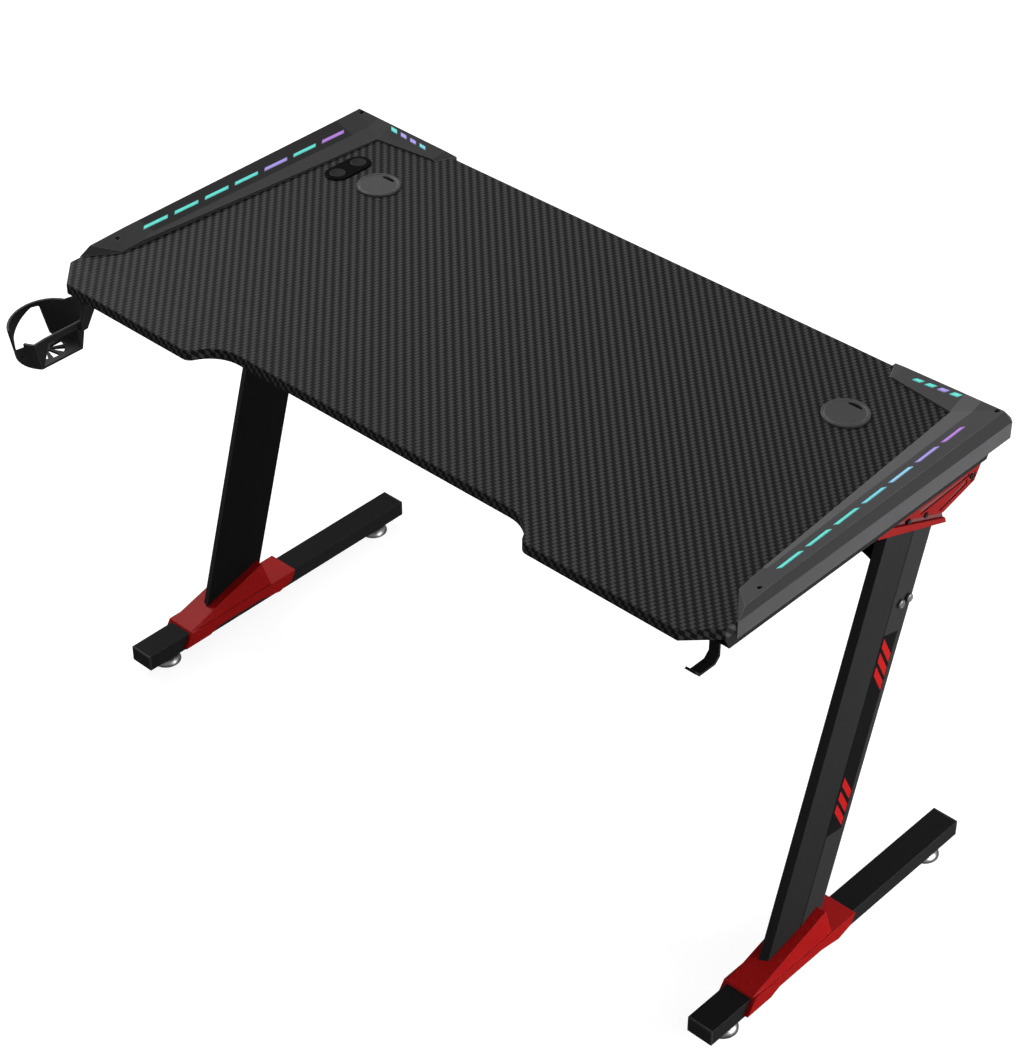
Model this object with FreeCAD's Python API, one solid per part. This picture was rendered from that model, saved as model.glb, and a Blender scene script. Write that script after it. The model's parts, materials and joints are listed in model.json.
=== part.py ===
"""Gaming desk: leaning pressed-steel legs, a film-covered board and lit corner trims.

Millimetres. While modelling, x = 0 is the board's middle, y = 0 its mid depth with the user at -y,
and z = 0 is the floor. The finished pieces are moved so that the origin is the footprint's centre.
"""
import FreeCAD, Part
import math
import os

V = FreeCAD.Vector
X_AXIS = V(1, 0, 0)
Z_AXIS = V(0, 0, 1)
OVERRUN = 5.0

# Board
TOP_WIDTH = 1140.0
TOP_DEPTH = 592.0
TOP_HEIGHT = 728.0
TOP_THICKNESS = 15.0
TOP_EASE = 1.0
CORNER_CHAMFER = 38.5
REAR_CHAMFER = 7.0
CUTOUT_HALF_WIDTH = 291.0
CUTOUT_DEPTH = 39.5
CUTOUT_RADIUS = 56.7
CUTOUT_CORNER_RADIUS = 15.0

# Corner trims, one moulding on each side and round the rear corner
TRIM_WALL = 2.0
TRIM_REAR_WALL = 7.0
TRIM_SKIRT = 24.0
TRIM_BAND_SHARE = 0.32
TRIM_LIP = 3.0
TRIM_NOSE_SETBACK = 57.0
TRIM_NOSE_SLANT = 44.0
TRIM_NOSE_WIDTH = 35.0
TRIM_NOSE_RIDGE = 12.0
TRIM_NOSE_RIDGE_SETBACK = 73.0
TRIM_FOLD_SETBACK = 134.0
TRIM_FOLD_WIDTH = 37.0
TRIM_FOLD_RIDGE = 14.8
TRIM_STRIP_WIDTH = 32.0
TRIM_STRIP_EDGE = 7.4
TRIM_STRIP_REAR_WIDTH = 41.0
TRIM_STRIP_END = 81.0
TRIM_STRIP_RIDGE = 19.2
TRIM_STRIP_RIDGE_END = 53.0
TRIM_REAR_RIDGE = 20.0
TRIM_REAR_RIDGE_INSET = 19.5
TRIM_CORNER_WIDTH = 66.5
TRIM_CORNER_DEPTH = 44.5
TRIM_RETURN_LENGTH = 184.0
TRIM_RETURN_DEPTH = 31.3
TRIM_RETURN_STEP = 13.0
TRIM_RETURN_BEVEL = 6.0
TRIM_RETURN_HEIGHT = 5.0
TRIM_RETURN_SLANT = 5.0
TRIM_RETURN_RUN = 17.0
TRIM_SCREW_INSET = 14.0
TRIM_SCREW_SETBACK = 112.0
TRIM_SCREW_REAR = 23.0

# Light strips in the trims
LIGHT_COUNT = 7
LIGHT_LENGTH = 43.0
LIGHT_WIDTH = 5.4
LIGHT_SKEW = 5.0
LIGHT_FIRST_SETBACK = 175.0
LIGHT_LAST_SETBACK = 95.0
LIGHT_INSET_FRONT = 20.5
LIGHT_INSET_REAR = 28.5
RETURN_LIGHT_COUNT = 4
RETURN_LIGHT_LENGTH = 12.6
RETURN_LIGHT_WIDTH = 6.0
RETURN_LIGHT_PITCH = 19.0
RETURN_LIGHT_SETBACK = 68.0
RETURN_LIGHT_INSET = 19.5
LENS_FLOOR = 2.2
LENS_PROUD = 0.3
LENS_PLAY = 0.5
LED_BOARD_WIDTH = 9.0
LED_BOARD_THICKNESS = 1.0
LED_CHANNEL_PLAY = 1.0

# Cable grommets
GROMMET_SIDE_INSET = 159.0
GROMMET_REAR_INSET = 127.0
GROMMET_HOLE = 56.6
GROMMET_FLANGE = 62.6
GROMMET_WALL = 1.8
GROMMET_PLAY = 0.3
GROMMET_TAIL = 20.0
GROMMET_RIM = 3.4
GROMMET_RIM_WIDTH = 2.5
GROMMET_LEDGE = 1.2
CAP_SKIRT = 6.0
CAP_SKIRT_WALL = 1.7
CAP_DISC = 1.5
CAP_RIM = 0.6
CAP_RIM_WIDTH = 1.7
CAP_PLAY = 0.3
SLOT_HALF_LENGTH = 11.0
SLOT_INNER = 16.8
SLOT_OUTER = 23.4

# Light control beside the left grommet
CONTROL_SIDE_INSET = 93.0
CONTROL_REAR_INSET = 123.0
CONTROL_PITCH = 41.0
CONTROL_RADIUS = 18.5
CONTROL_PLATE = 2.0
CONTROL_EASE_SHARE = 0.33
CONTROL_BODY_RADIUS = 15.5
CONTROL_BODY_PLAY = 0.4
CONTROL_BODY_DEPTH = 20.0
CONTROL_WALL = 1.6
CONTROL_ROOF = 3.0
BUTTON_RADIUS = 11.6
BUTTON_PLAY = 0.3
BUTTON_PROUD = 0.9
BUTTON_DISH = 0.5
BUTTON_FLANGE = 1.2
BUTTON_FLANGE_HEIGHT = 1.5
BUTTON_STEM_RADIUS = 4.0
BUTTON_STEM = 3.0
BUTTON_TRAVEL = 1.5
SWITCH_SIZE = 6.0
SWITCH_HEIGHT = 3.5
CONTROL_BOARD_THICKNESS = 1.6

# Side rails under the board
LEG_INSET = 25.0
RAIL_WIDTH = 40.0
RAIL_HEIGHT = 25.0
RAIL_WALL = 2.0
RAIL_FRONT_INSET = 41.0
RAIL_REAR_INSET = 26.0
RAIL_END_SLANT = 12.0
RAIL_SCREW_SETBACK = 70.0

# Feet
FOOT_WIDTH = 40.0
FOOT_HEIGHT = 25.0
FOOT_WALL = 2.0
FOOT_FRONT_INSET = 66.5
FOOT_REAR_REACH = 11.0
FOOT_CAP_FLANGE = 3.0
FOOT_CAP_PLUG = 14.0
FOOT_CAP_PLAY = 0.1
FOOT_CAP_EASE_SHARE = 0.33
GLIDE_INSET = 48.0
GLIDE_HEIGHT = 17.0
GLIDE_RADIUS = 22.0
GLIDE_NECK_RADIUS = 8.0
GLIDE_NECK = 4.0
GLIDE_RIM = 2.0
GLIDE_RIM_EASE = 1.0
GLIDE_SWELL_SHARE = 0.2
GLIDE_GAP = 0.3
GLIDE_STEM_RADIUS = 4.0
GLIDE_STEM = 20.0
GLIDE_FIT = 0.05
GLIDE_HOLE_PLAY = 0.6
NUT_ACROSS_FLATS = 13.0
NUT_HEIGHT = 6.5

# Leaning columns, a pressed tube with one crease down its outer face
COLUMN_FRONT_INSET = 194.5
COLUMN_HEAD_INSET = 208.5
COLUMN_DEPTH = 106.0
COLUMN_THICKNESS = 12.0
COLUMN_INNER_OFFSET = 7.5
COLUMN_CREASE = 2.5
COLUMN_WALL = 1.8
COLUMN_CREASE_SHARE = 0.545
COLUMN_FRONT_SLANT = 5.0
COLUMN_REAR_SLANT = 7.0

# Moulded covers where the columns meet the feet
COVER_WALL = 3.0
COVER_HALF_WIDTH = 26.5
COVER_FRONT_REACH = 46.5
COVER_NOSE = 15.0
COVER_REAR_REACH = 165.5
COVER_ROOF = 3.5
COVER_NOSE_ROOF = 3.0
COVER_SKIRT_RISE = 5.0
COVER_SKIRT_ARCH = 7.0
COVER_TAIL_CUT = 9.0
COVER_WAVE_SHARES = (0.16, 0.24, 0.66, 0.84)
COVER_COLLAR_FRONT_HALF = 21.5
COVER_COLLAR_REAR_HALF = 20.5
COVER_COLLAR_FOOT_HALF = 24.0
COVER_COLLAR_REACH = 103.5
COVER_COLLAR_TAIL = 15.0
COVER_PLAY = 0.3

# Brackets that carry the rails on the columns; depths run from the column's head, drops from its top
BRACKET_FLANGE = 4.0
BRACKET_FRONT = -44.0
BRACKET_REAR = 178.5
BRACKET_CHEEK = 3.6
BRACKET_CHEEK_OFFSET = 7.4
BRACKET_LIP_PROUD = 2.5
BRACKET_LIP_INNER_OFFSET = 15.0
BRACKET_LIP_FRONT = -42.0
BRACKET_LIP_REAR = 104.9
BRACKET_LIP_DROP = 60.5
BRACKET_LIP_RISE = 53.5
BRACKET_LIP_HEIGHT = 16.5
BRACKET_LIP_SLANT = 5.5
BRACKET_TAIL = 163.0
BRACKET_TAIL_DROP = 28.8
BRACKET_RECESS = 1.6
BRACKET_SLOT_WIDTH = 9.0
BRACKET_SLOT_TIP = 4.0
BRACKET_SLOT_FRONT = 48.5
BRACKET_SLOT_REAR = 150.0
BRACKET_SLOT_DROP = 11.0
BRACKET_LOW_SLOT_FRONT = 90.5
BRACKET_LOW_SLOT_REAR = 146.5
BRACKET_LOW_SLOT_DROP = 38.5
BRACKET_LOW_SLOT_RISE = 13.5
BRACKET_LOW_SLOT_TIP = 3.0
BRACKET_LOW_SLOT_WIDTH = 7.5
BRACKET_POCKET_RADIUS = 7.0
BRACKET_GROOVE_FRONT = 4.2
BRACKET_GROOVE_REAR = 8.3
BRACKET_BOLT_FRONT = 23.5
BRACKET_BOLT_MIDDLE = 60.5
BRACKET_BOLT_REAR = 157.0
BRACKET_BOLT_FRONT_DROP = 15.8
BRACKET_BOLT_MIDDLE_DROP = 26.3
BRACKET_BOLT_REAR_DROP = 19.5
BRACKET_BOLT_RADIUS = 2.5
BRACKET_BOLT_HEAD_RADIUS = 3.9
BRACKET_BOLT_HEAD_HEIGHT = 2.2

# Beam between the columns
BEAM_DROP = 100.0
BEAM_HEIGHT = 24.0
BEAM_FLARE = 45.0
BEAM_LEG = 24.0
BEAM_END = 10.0
BEAM_TOE_SETBACK = 73.6
BEAM_DEPTH = 32.0
BEAM_WALL = 2.0

# Fasteners
BOLT_RADIUS = 3.0
BOLT_PLAY = 0.15
BOLT_HEAD_RADIUS = 6.0
BOLT_HEAD_HEIGHT = 4.0
BOLT_EASE_SHARE = 0.33
BEAM_BOLT_PITCH = 17.0
BEAM_BOLT_RISE = 13.0
SCREW_RADIUS = 1.8
SCREW_HEAD_RADIUS = 3.4
SCREW_HEAD_HEIGHT = 1.8
SCREW_DEPTH = 9.0
SCREW_PLAY = 0.1

# Cup holder outside the left front corner
HOLDER_FRONT_INSET = 9.4
HOLDER_RADIUS = 55.0
HOLDER_BASE_RADIUS = 46.5
HOLDER_FLAT = 30.0
HOLDER_DROP = 128.0
HOLDER_HEIGHT = 53.0
HOLDER_RIM_FALL = 11.0
HOLDER_FLAT_HEIGHT = 45.0
HOLDER_SHOULDER = 30.0
HOLDER_SHOULDER_RUN = 20.0
HOLDER_WALL = 3.2
HOLDER_FLOOR = 3.5
HOLDER_BAND = 10.0
HOLDER_SILL = 6.0
HOLDER_POST = 4.0
HOLDER_WINDOW_RADIUS = 4.0
HOLDER_WINDOW_DEPTH_SHARES = (0.62, 0.54, 0.28, -0.65, -0.75)
HOLDER_WINDOW_HEIGHT_SHARES = (0, 1, 1, 0.34, 0)
HOLDER_FLAT_WINDOW_SHARE = 0.65
HOLDER_GAP_LEFT = 25.0
HOLDER_GAP_RIGHT = 15.0
HOLDER_GAP_FOOT = 9.0
HOLDER_GAP_RISE = 28.0
HOLDER_GAP_STEP = 1.0
HOLDER_ARM_FOOT = 33.0
HOLDER_ARM_WIDTH = 11.0
HOLDER_ARM_THICKNESS = 7.0
HOLDER_ARM_LEAN_SHARE = 0.6
HOLDER_SEAT_WIDTH = 30.0
HOLDER_SEAT_PLAY = 0.3
HOLDER_SCREW_PITCH = 14.0
HOLDER_SCREW_SETBACK = 8.0
HOLDER_SCREW_RISE = 8.0
HOLDER_SLOT_COUNT = 4
HOLDER_SLOT_INNER = 6.0
HOLDER_SLOT_OUTER = 27.0
HOLDER_SLOT_WIDTH = 12.0
HOLDER_SLOT_NECK_SHARE = 0.2
HOLDER_SLOT_FAN_SHARE = 0.68
HOLDER_SLOT_TURN_SHARE = 0.1
HOLDER_HUB_X_OFFSET = -5.0
HOLDER_HUB_Y_OFFSET = -2.0
HOLDER_DRAIN_RADIUS = 2.8
HOLDER_DRAIN_RISE = 15.0
HOLDER_DRAIN_OFFSET = 5.0

# Headphone hook under the right rail's front end
HOOK_LEG_OFFSET = 5.0
HOOK_FRONT_INSET = 57.0
HOOK_WIDTH = 15.0
HOOK_THICKNESS = 3.0
HOOK_DROP = 33.0
HOOK_REACH = 40.0
HOOK_RISE = 8.0
HOOK_BEND = 8.0
HOOK_FOOT = 34.0

# Places worked out from the sizes above
HALF_WIDTH = TOP_WIDTH / 2
FRONT = -TOP_DEPTH / 2
REAR = TOP_DEPTH / 2
UNDERSIDE = TOP_HEIGHT - TOP_THICKNESS
TRIM_SIDE = HALF_WIDTH + TRIM_WALL
TRIM_BACK = REAR + TRIM_REAR_WALL
GROMMET_X = HALF_WIDTH - GROMMET_SIDE_INSET
GROMMET_Y = REAR - GROMMET_REAR_INSET
CONTROL_X = -HALF_WIDTH + CONTROL_SIDE_INSET
CONTROL_Y = REAR - CONTROL_REAR_INSET
LEG_X = HALF_WIDTH - LEG_INSET
RAIL_FRONT = FRONT + RAIL_FRONT_INSET
RAIL_REAR = REAR - RAIL_REAR_INSET
RAIL_BOTTOM = UNDERSIDE - RAIL_HEIGHT
FOOT_FRONT = FRONT + FOOT_FRONT_INSET
FOOT_REAR = REAR + FOOT_REAR_REACH
FOOT_TOP = GLIDE_HEIGHT + FOOT_HEIGHT
COLUMN_FRONT = FRONT + COLUMN_FRONT_INSET
COLUMN_HEAD = REAR - COLUMN_HEAD_INSET
COLUMN_TOP = RAIL_BOTTOM - BRACKET_FLANGE
LEAN = (COLUMN_HEAD - COLUMN_FRONT) / (RAIL_BOTTOM - FOOT_TOP)
COVER_FRONT = COLUMN_FRONT - COVER_FRONT_REACH
COVER_REAR = COLUMN_FRONT + COVER_REAR_REACH
COVER_COLLAR_REAR = COLUMN_FRONT + COVER_COLLAR_REACH
COVER_TOP = FOOT_TOP + COVER_ROOF
COVER_NOSE_TOP = FOOT_TOP + COVER_NOSE_ROOF
COVER_SKIRT = GLIDE_HEIGHT + COVER_SKIRT_RISE
BRACKET_CHEEK_X = LEG_X + BRACKET_CHEEK_OFFSET
BEAM_TOP = UNDERSIDE - BEAM_DROP
BEAM_TOE = BEAM_TOP - BEAM_HEIGHT - BEAM_FLARE - BEAM_LEG
BEAM_FRONT = COLUMN_FRONT + LEAN * (BEAM_TOE - FOOT_TOP) + BEAM_TOE_SETBACK
HOLDER_FACE = -LEG_X - RAIL_WIDTH / 2 - HOLDER_ARM_THICKNESS
HOLDER_X = HOLDER_FACE - HOLDER_FLAT
HOLDER_Y = FRONT + HOLDER_FRONT_INSET
HOLDER_BASE = UNDERSIDE - HOLDER_DROP
HOLDER_RIM = HOLDER_BASE + HOLDER_HEIGHT
HOLDER_FLAT_TOP = HOLDER_BASE + HOLDER_FLAT_HEIGHT
HOLDER_SEAT_TOP = TOP_HEIGHT - TRIM_SKIRT - HOLDER_SEAT_PLAY
HOOK_X = LEG_X - HOOK_LEG_OFFSET
HOOK_Y = FRONT + HOOK_FRONT_INSET


def box(x0, x1, y0, y1, z0, z1):
    """Upright block between two corners."""
    return Part.makeBox(x1 - x0, y1 - y0, z1 - z0, V(x0, y0, z0))


def prism(points, direction):
    """Flat outline pushed along a direction."""
    return Part.Face(Part.makePolygon(points + points[:1])).extrude(direction)


def rod(start, axis, radius, length):
    """Round bar from a start point along an axis."""
    return Part.makeCylinder(radius, length, start, axis)


def turned(points, centre):
    """Solid of revolution about z, from (radius, height) points."""
    rim = [V(r, 0, z) for r, z in points]
    face = Part.Face(Part.makePolygon(rim + rim[:1]))
    solid = face.revolve(V(0, 0, 0), Z_AXIS, math.degrees(2 * math.pi))
    solid.translate(centre)
    return solid


def stadium(x, y, radius, pitch, z0, z1):
    """Pill-shaped block with its two centres along y."""
    block = box(x - radius, x + radius, y - pitch / 2, y + pitch / 2, z0, z1)
    for end in (-pitch / 2, pitch / 2):
        block = block.fuse(rod(V(x, y + end, z0), Z_AXIS, radius, z1 - z0))
    return block.removeSplitter()


def facet(*corners):
    """Face through three or more corners; four corners out of plane give a twisted face."""
    polygon = Part.makePolygon(list(corners) + [corners[0]])
    normal = (corners[1] - corners[0]).cross(corners[2] - corners[0])
    normal.normalize()
    off_plane = max(abs((c - corners[0]).dot(normal)) for c in corners)
    if off_plane < Part.Precision.approximation() or len(corners) != 4:
        return Part.Face(polygon)
    first = Part.makeLine(corners[0], corners[1])
    second = Part.makeLine(corners[3], corners[2])
    return Part.makeRuledSurface(first, second)


def moulding(faces):
    """Closed solid from faces that share their edges."""
    shell = Part.makeShell(faces)
    shell.sewShape()
    solid = Part.makeSolid(shell)
    if solid.Volume < 0:
        solid.reverse()
    return solid


def mirrored(shape):
    """Left-hand twin of a right-hand piece."""
    return shape.mirror(V(0, 0, 0), X_AXIS)


def group(solids):
    """Identical pieces that share one node."""
    return Part.makeCompound(solids)


def column_front(z):
    """Depth of the column's front outer corner at a height."""
    return COLUMN_FRONT + LEAN * (z - FOOT_TOP)


# Board

def cutout_run():
    """Length along the front edge that one rounded corner of the cut-out takes."""
    return math.sqrt(2 * CUTOUT_RADIUS * CUTOUT_DEPTH - CUTOUT_DEPTH ** 2)


def cutout_arc(side):
    """Rounded inner corner of the front cut-out, from the front edge inwards."""
    centre = V(side * (CUTOUT_HALF_WIDTH - cutout_run()), FRONT + CUTOUT_DEPTH - CUTOUT_RADIUS, UNDERSIDE)
    turn = math.acos(1 - CUTOUT_DEPTH / CUTOUT_RADIUS)
    points = []
    for angle in (turn, turn / 2, 0):
        points.append(centre + V(side * CUTOUT_RADIUS * math.sin(angle), CUTOUT_RADIUS * math.cos(angle), 0))
    return points


def board_blank():
    """Board with its chamfered corners and curved front cut-out."""
    right = cutout_arc(1)
    left = cutout_arc(-1)
    half_outline = [right[0],
                    V(HALF_WIDTH - CORNER_CHAMFER, FRONT, UNDERSIDE),
                    V(HALF_WIDTH, FRONT + CORNER_CHAMFER, UNDERSIDE),
                    V(HALF_WIDTH, REAR - REAR_CHAMFER, UNDERSIDE),
                    V(HALF_WIDTH - REAR_CHAMFER, REAR, UNDERSIDE)]
    corners = half_outline + [twin(place) for place in reversed(half_outline)]
    edges = [Part.makeLine(a, b) for a, b in zip(corners, corners[1:])]
    edges.append(Part.Arc(left[0], left[1], left[2]).toShape())
    edges.append(Part.makeLine(left[2], right[2]))
    edges.append(Part.Arc(right[2], right[1], right[0]).toShape())
    blank = Part.Face(Part.Wire(edges)).extrude(V(0, 0, TOP_THICKNESS))
    tips = [e for e in blank.Edges if any((e.CenterOfMass - tip).cross(Z_AXIS).Length < TOP_EASE
                                          for tip in (left[0], right[0]))]
    blank = blank.makeFillet(CUTOUT_CORNER_RADIUS, tips)
    upper = [e for e in blank.Edges if e.BoundBox.ZMin > UNDERSIDE + TOP_THICKNESS / 2]
    front_run = [e for e in upper if e.CenterOfMass.y < FRONT + CORNER_CHAMFER + TOP_EASE]
    return blank.makeChamfer(TOP_EASE, front_run)


def trim_screw_places():
    """Screws of the right trim: the front nose and the rear corner."""
    return [V(TRIM_SIDE - TRIM_SCREW_INSET, FRONT + TRIM_SCREW_SETBACK, TOP_HEIGHT),
            V(TRIM_SIDE - TRIM_SCREW_INSET, TRIM_BACK - TRIM_SCREW_REAR, TOP_HEIGHT)]


def rail_screw_places():
    """Screws that hold the right rail to the board."""
    depths = (RAIL_FRONT + RAIL_SCREW_SETBACK, RAIL_REAR - RAIL_SCREW_SETBACK)
    return [V(LEG_X, y, UNDERSIDE) for y in depths]


def holder_screw_places():
    """Screws through the seat of the cup holder's arm, on its outer face, rear then front."""
    y = holder_arm_ends()[1] - HOLDER_SCREW_SETBACK
    z = RAIL_BOTTOM + HOLDER_SCREW_RISE
    return [V(HOLDER_FACE, y - i * HOLDER_SCREW_PITCH, z) for i in range(2)]


def hook_screw_place():
    """Screw through the foot of the headphone hook."""
    return V(HOOK_X, HOOK_Y + HOOK_FOOT / 2, RAIL_BOTTOM)


def twin(place):
    """The same place on the other side of the desk."""
    return V(-place.x, place.y, place.z)


def pilot(place, up):
    """Pilot hole for a screw, into the board's face or its underside."""
    return rod(place, V(0, 0, 1 if up else -1), SCREW_RADIUS + SCREW_PLAY, SCREW_DEPTH)


def make_desktop():
    board = board_blank()
    for side in (-1, 1):
        hole = V(side * GROMMET_X, GROMMET_Y, UNDERSIDE - OVERRUN)
        board = board.cut(rod(hole, Z_AXIS, GROMMET_HOLE / 2, TOP_THICKNESS + 2 * OVERRUN))
    board = board.cut(stadium(CONTROL_X, CONTROL_Y, CONTROL_BODY_RADIUS + CONTROL_BODY_PLAY, CONTROL_PITCH,
                              UNDERSIDE - OVERRUN, TOP_HEIGHT + OVERRUN))
    for place in trim_screw_places():
        board = board.cut(pilot(place, False)).cut(pilot(twin(place), False))
    for place in rail_screw_places():
        board = board.cut(pilot(place, True)).cut(pilot(twin(place), True))
    return board


# Corner trims

def ridge(y, height):
    """Point on the trim's sloping outer band at a depth and a height over the board."""
    return V(TRIM_SIDE - TRIM_BAND_SHARE * height, y, TOP_HEIGHT + height)


def on_plane(x, y, a, b, c):
    """Point at x and y on the plane through three points."""
    normal = (b - a).cross(c - a)
    drop = (normal.x * (x - a.x) + normal.y * (y - a.y)) / normal.z
    return V(x, y, a.z - drop)


def trim_corners():
    """Named corners of the right trim's faceted upper part."""
    z = TOP_HEIGHT
    lift = V(0, 0, TRIM_LIP)
    c = {}
    c["nose"] = V(TRIM_SIDE, FRONT + TRIM_NOSE_SETBACK, z)
    c["nose_in"] = V(TRIM_SIDE - TRIM_NOSE_WIDTH, c["nose"].y + TRIM_NOSE_SLANT, z)
    c["nose_lip"] = c["nose_in"] + lift
    c["nose_ridge"] = ridge(FRONT + TRIM_NOSE_RIDGE_SETBACK, TRIM_NOSE_RIDGE)
    c["fold_in"] = V(TRIM_SIDE - TRIM_FOLD_WIDTH, FRONT + TRIM_FOLD_SETBACK, z)
    c["fold_strip"] = V(TRIM_SIDE - TRIM_STRIP_WIDTH, c["fold_in"].y, z + TRIM_STRIP_EDGE)
    c["fold_ridge"] = ridge(c["fold_in"].y, TRIM_FOLD_RIDGE)
    c["strip_ridge"] = ridge(TRIM_BACK - TRIM_STRIP_RIDGE_END, TRIM_STRIP_RIDGE)
    c["strip_in"] = on_plane(TRIM_SIDE - TRIM_STRIP_REAR_WIDTH, TRIM_BACK - TRIM_STRIP_END,
                             c["fold_strip"], c["fold_ridge"], c["strip_ridge"])
    c["rear_ridge"] = ridge(TRIM_BACK - TRIM_REAR_RIDGE_INSET, TRIM_REAR_RIDGE)
    c["corner_in"] = V(TRIM_SIDE - TRIM_CORNER_WIDTH, TRIM_BACK - TRIM_CORNER_DEPTH, z)
    c["corner_lip"] = c["corner_in"] + lift
    c["fold_lip"] = on_plane(c["fold_in"].x, c["fold_in"].y, c["fold_strip"], c["strip_in"], c["corner_lip"])
    c["side_rear"] = V(TRIM_SIDE, TRIM_BACK - REAR_CHAMFER, z)
    c["back_rear"] = V(TRIM_SIDE - REAR_CHAMFER, TRIM_BACK, z)
    c["tip"] = V(TRIM_SIDE - TRIM_RETURN_LENGTH, TRIM_BACK, z)
    c["end_in"] = V(c["tip"].x + TRIM_RETURN_STEP, TRIM_BACK - TRIM_RETURN_DEPTH, z)
    inward = (c["corner_in"] - c["end_in"]).normalize() * TRIM_RETURN_BEVEL
    c["end_lip"] = c["end_in"] + inward + lift
    c["end_rear"] = V(c["tip"].x + TRIM_RETURN_RUN, TRIM_BACK - TRIM_RETURN_SLANT, z + TRIM_RETURN_HEIGHT)
    run_share = (c["corner_in"].x - c["end_rear"].x) / (c["rear_ridge"].x - c["end_rear"].x)
    c["corner_rear"] = c["end_rear"] + (c["rear_ridge"] - c["end_rear"]) * run_share
    return c


def trim_upper(c):
    """Faceted part that lies on the board."""
    outlines = [
        ("nose_in", "nose_lip", "nose_ridge"), ("nose_in", "nose_ridge", "nose"),
        ("nose_in", "fold_in", "fold_lip", "nose_lip"), ("nose_lip", "fold_lip", "fold_strip"),
        ("nose_lip", "fold_strip", "fold_ridge"), ("nose_lip", "fold_ridge", "nose_ridge"),
        ("fold_strip", "fold_ridge", "strip_ridge", "strip_in"),
        ("fold_lip", "fold_strip", "strip_in", "corner_lip"),
        ("fold_in", "corner_in", "corner_lip", "fold_lip"), ("corner_lip", "strip_in", "strip_ridge"),
        ("corner_lip", "strip_ridge", "rear_ridge"), ("corner_lip", "rear_ridge", "corner_rear"),
        ("end_lip", "end_rear", "corner_rear", "corner_lip"),
        ("end_in", "corner_in", "corner_lip", "end_lip"),
        ("tip", "end_rear", "end_lip", "end_in"), ("tip", "end_rear", "back_rear"),
        ("end_rear", "corner_rear", "rear_ridge", "back_rear"), ("back_rear", "side_rear", "rear_ridge"),
        ("nose", "side_rear", "rear_ridge", "strip_ridge", "fold_ridge", "nose_ridge"),
        ("nose", "nose_in", "fold_in", "corner_in", "end_in", "tip", "back_rear", "side_rear")]
    return moulding([facet(*[c[name] for name in outline]) for outline in outlines])


def trim_skirt(c):
    """Thin band that hangs over the board's side and rear edges."""
    outside = [c["nose"], c["side_rear"], c["back_rear"], c["tip"]]
    inside = [V(c["tip"].x, REAR, TOP_HEIGHT), V(HALF_WIDTH - REAR_CHAMFER, REAR, TOP_HEIGHT),
              V(HALF_WIDTH, REAR - REAR_CHAMFER, TOP_HEIGHT), V(HALF_WIDTH, c["nose"].y, TOP_HEIGHT)]
    return prism(outside + inside, V(0, 0, -TRIM_SKIRT))


def side_light_line():
    """Ends of the line through the side lights' centres."""
    first = V(TRIM_SIDE - LIGHT_INSET_FRONT, FRONT + LIGHT_FIRST_SETBACK, TOP_HEIGHT)
    last = V(TRIM_SIDE - LIGHT_INSET_REAR, TRIM_BACK - LIGHT_LAST_SETBACK, TOP_HEIGHT)
    return first, last


def light_windows(play):
    """Upright prisms through the right trim, one for each light, smaller by a play all round."""
    windows = []
    first, last = side_light_line()
    along = (last - first).normalize()
    across = V(along.y, -along.x, 0)
    rise = V(0, 0, TRIM_REAR_RIDGE + OVERRUN)
    for i in range(LIGHT_COUNT):
        centre = first + (last - first) * (i / (LIGHT_COUNT - 1)) + V(0, 0, LENS_FLOOR)
        half = along * (LIGHT_LENGTH / 2 - play)
        skew = along * (LIGHT_SKEW / 2)
        wide = across * (LIGHT_WIDTH / 2 - play)
        windows.append(prism([centre - half - wide - skew, centre + half - wide - skew,
                              centre + half + wide + skew, centre - half + wide + skew], rise))
    y = TRIM_BACK - RETURN_LIGHT_INSET
    for i in range(RETURN_LIGHT_COUNT):
        x = TRIM_SIDE - RETURN_LIGHT_SETBACK - RETURN_LIGHT_PITCH / 2 - i * RETURN_LIGHT_PITCH
        half = RETURN_LIGHT_LENGTH / 2 - play
        wide = RETURN_LIGHT_WIDTH / 2 - play
        skew = LIGHT_SKEW / 2
        z = TOP_HEIGHT + LENS_FLOOR
        windows.append(prism([V(x - half - skew, y - wide, z), V(x + half - skew, y - wide, z),
                              V(x + half + skew, y + wide, z), V(x - half + skew, y + wide, z)],
                             rise))
    return windows


def led_strip(width, top, height):
    """Flat strips under the lights, along the side and along the return."""
    first, last = side_light_line()
    along = (last - first).normalize()
    across = V(along.y, -along.x, 0) * (width / 2)
    reach = along * (LIGHT_LENGTH / 2 + width / 2)
    base = V(0, 0, top - height)
    side = prism([first - reach - across + base, last + reach - across + base,
                  last + reach + across + base, first - reach + across + base], V(0, 0, height))
    x1 = TRIM_SIDE - RETURN_LIGHT_SETBACK + width / 2
    x0 = TRIM_SIDE - RETURN_LIGHT_SETBACK - RETURN_LIGHT_COUNT * RETURN_LIGHT_PITCH - width / 2
    y = TRIM_BACK - RETURN_LIGHT_INSET
    z = TOP_HEIGHT + top
    back = box(x0, x1, y - width / 2, y + width / 2, z - height, z)
    return side, back


def countersunk_screw(place):
    """Screw with its head's top level with a place on the trim, pointing down into the board."""
    head = turned([(0, 0), (SCREW_HEAD_RADIUS, 0), (SCREW_HEAD_RADIUS, SCREW_HEAD_HEIGHT / 2),
                   (SCREW_HEAD_RADIUS / 2, SCREW_HEAD_HEIGHT), (0, SCREW_HEAD_HEIGHT)], place)
    shank = SCREW_DEPTH - OVERRUN / 2
    return head.fuse(rod(place - V(0, 0, shank), Z_AXIS, SCREW_RADIUS, shank))


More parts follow.
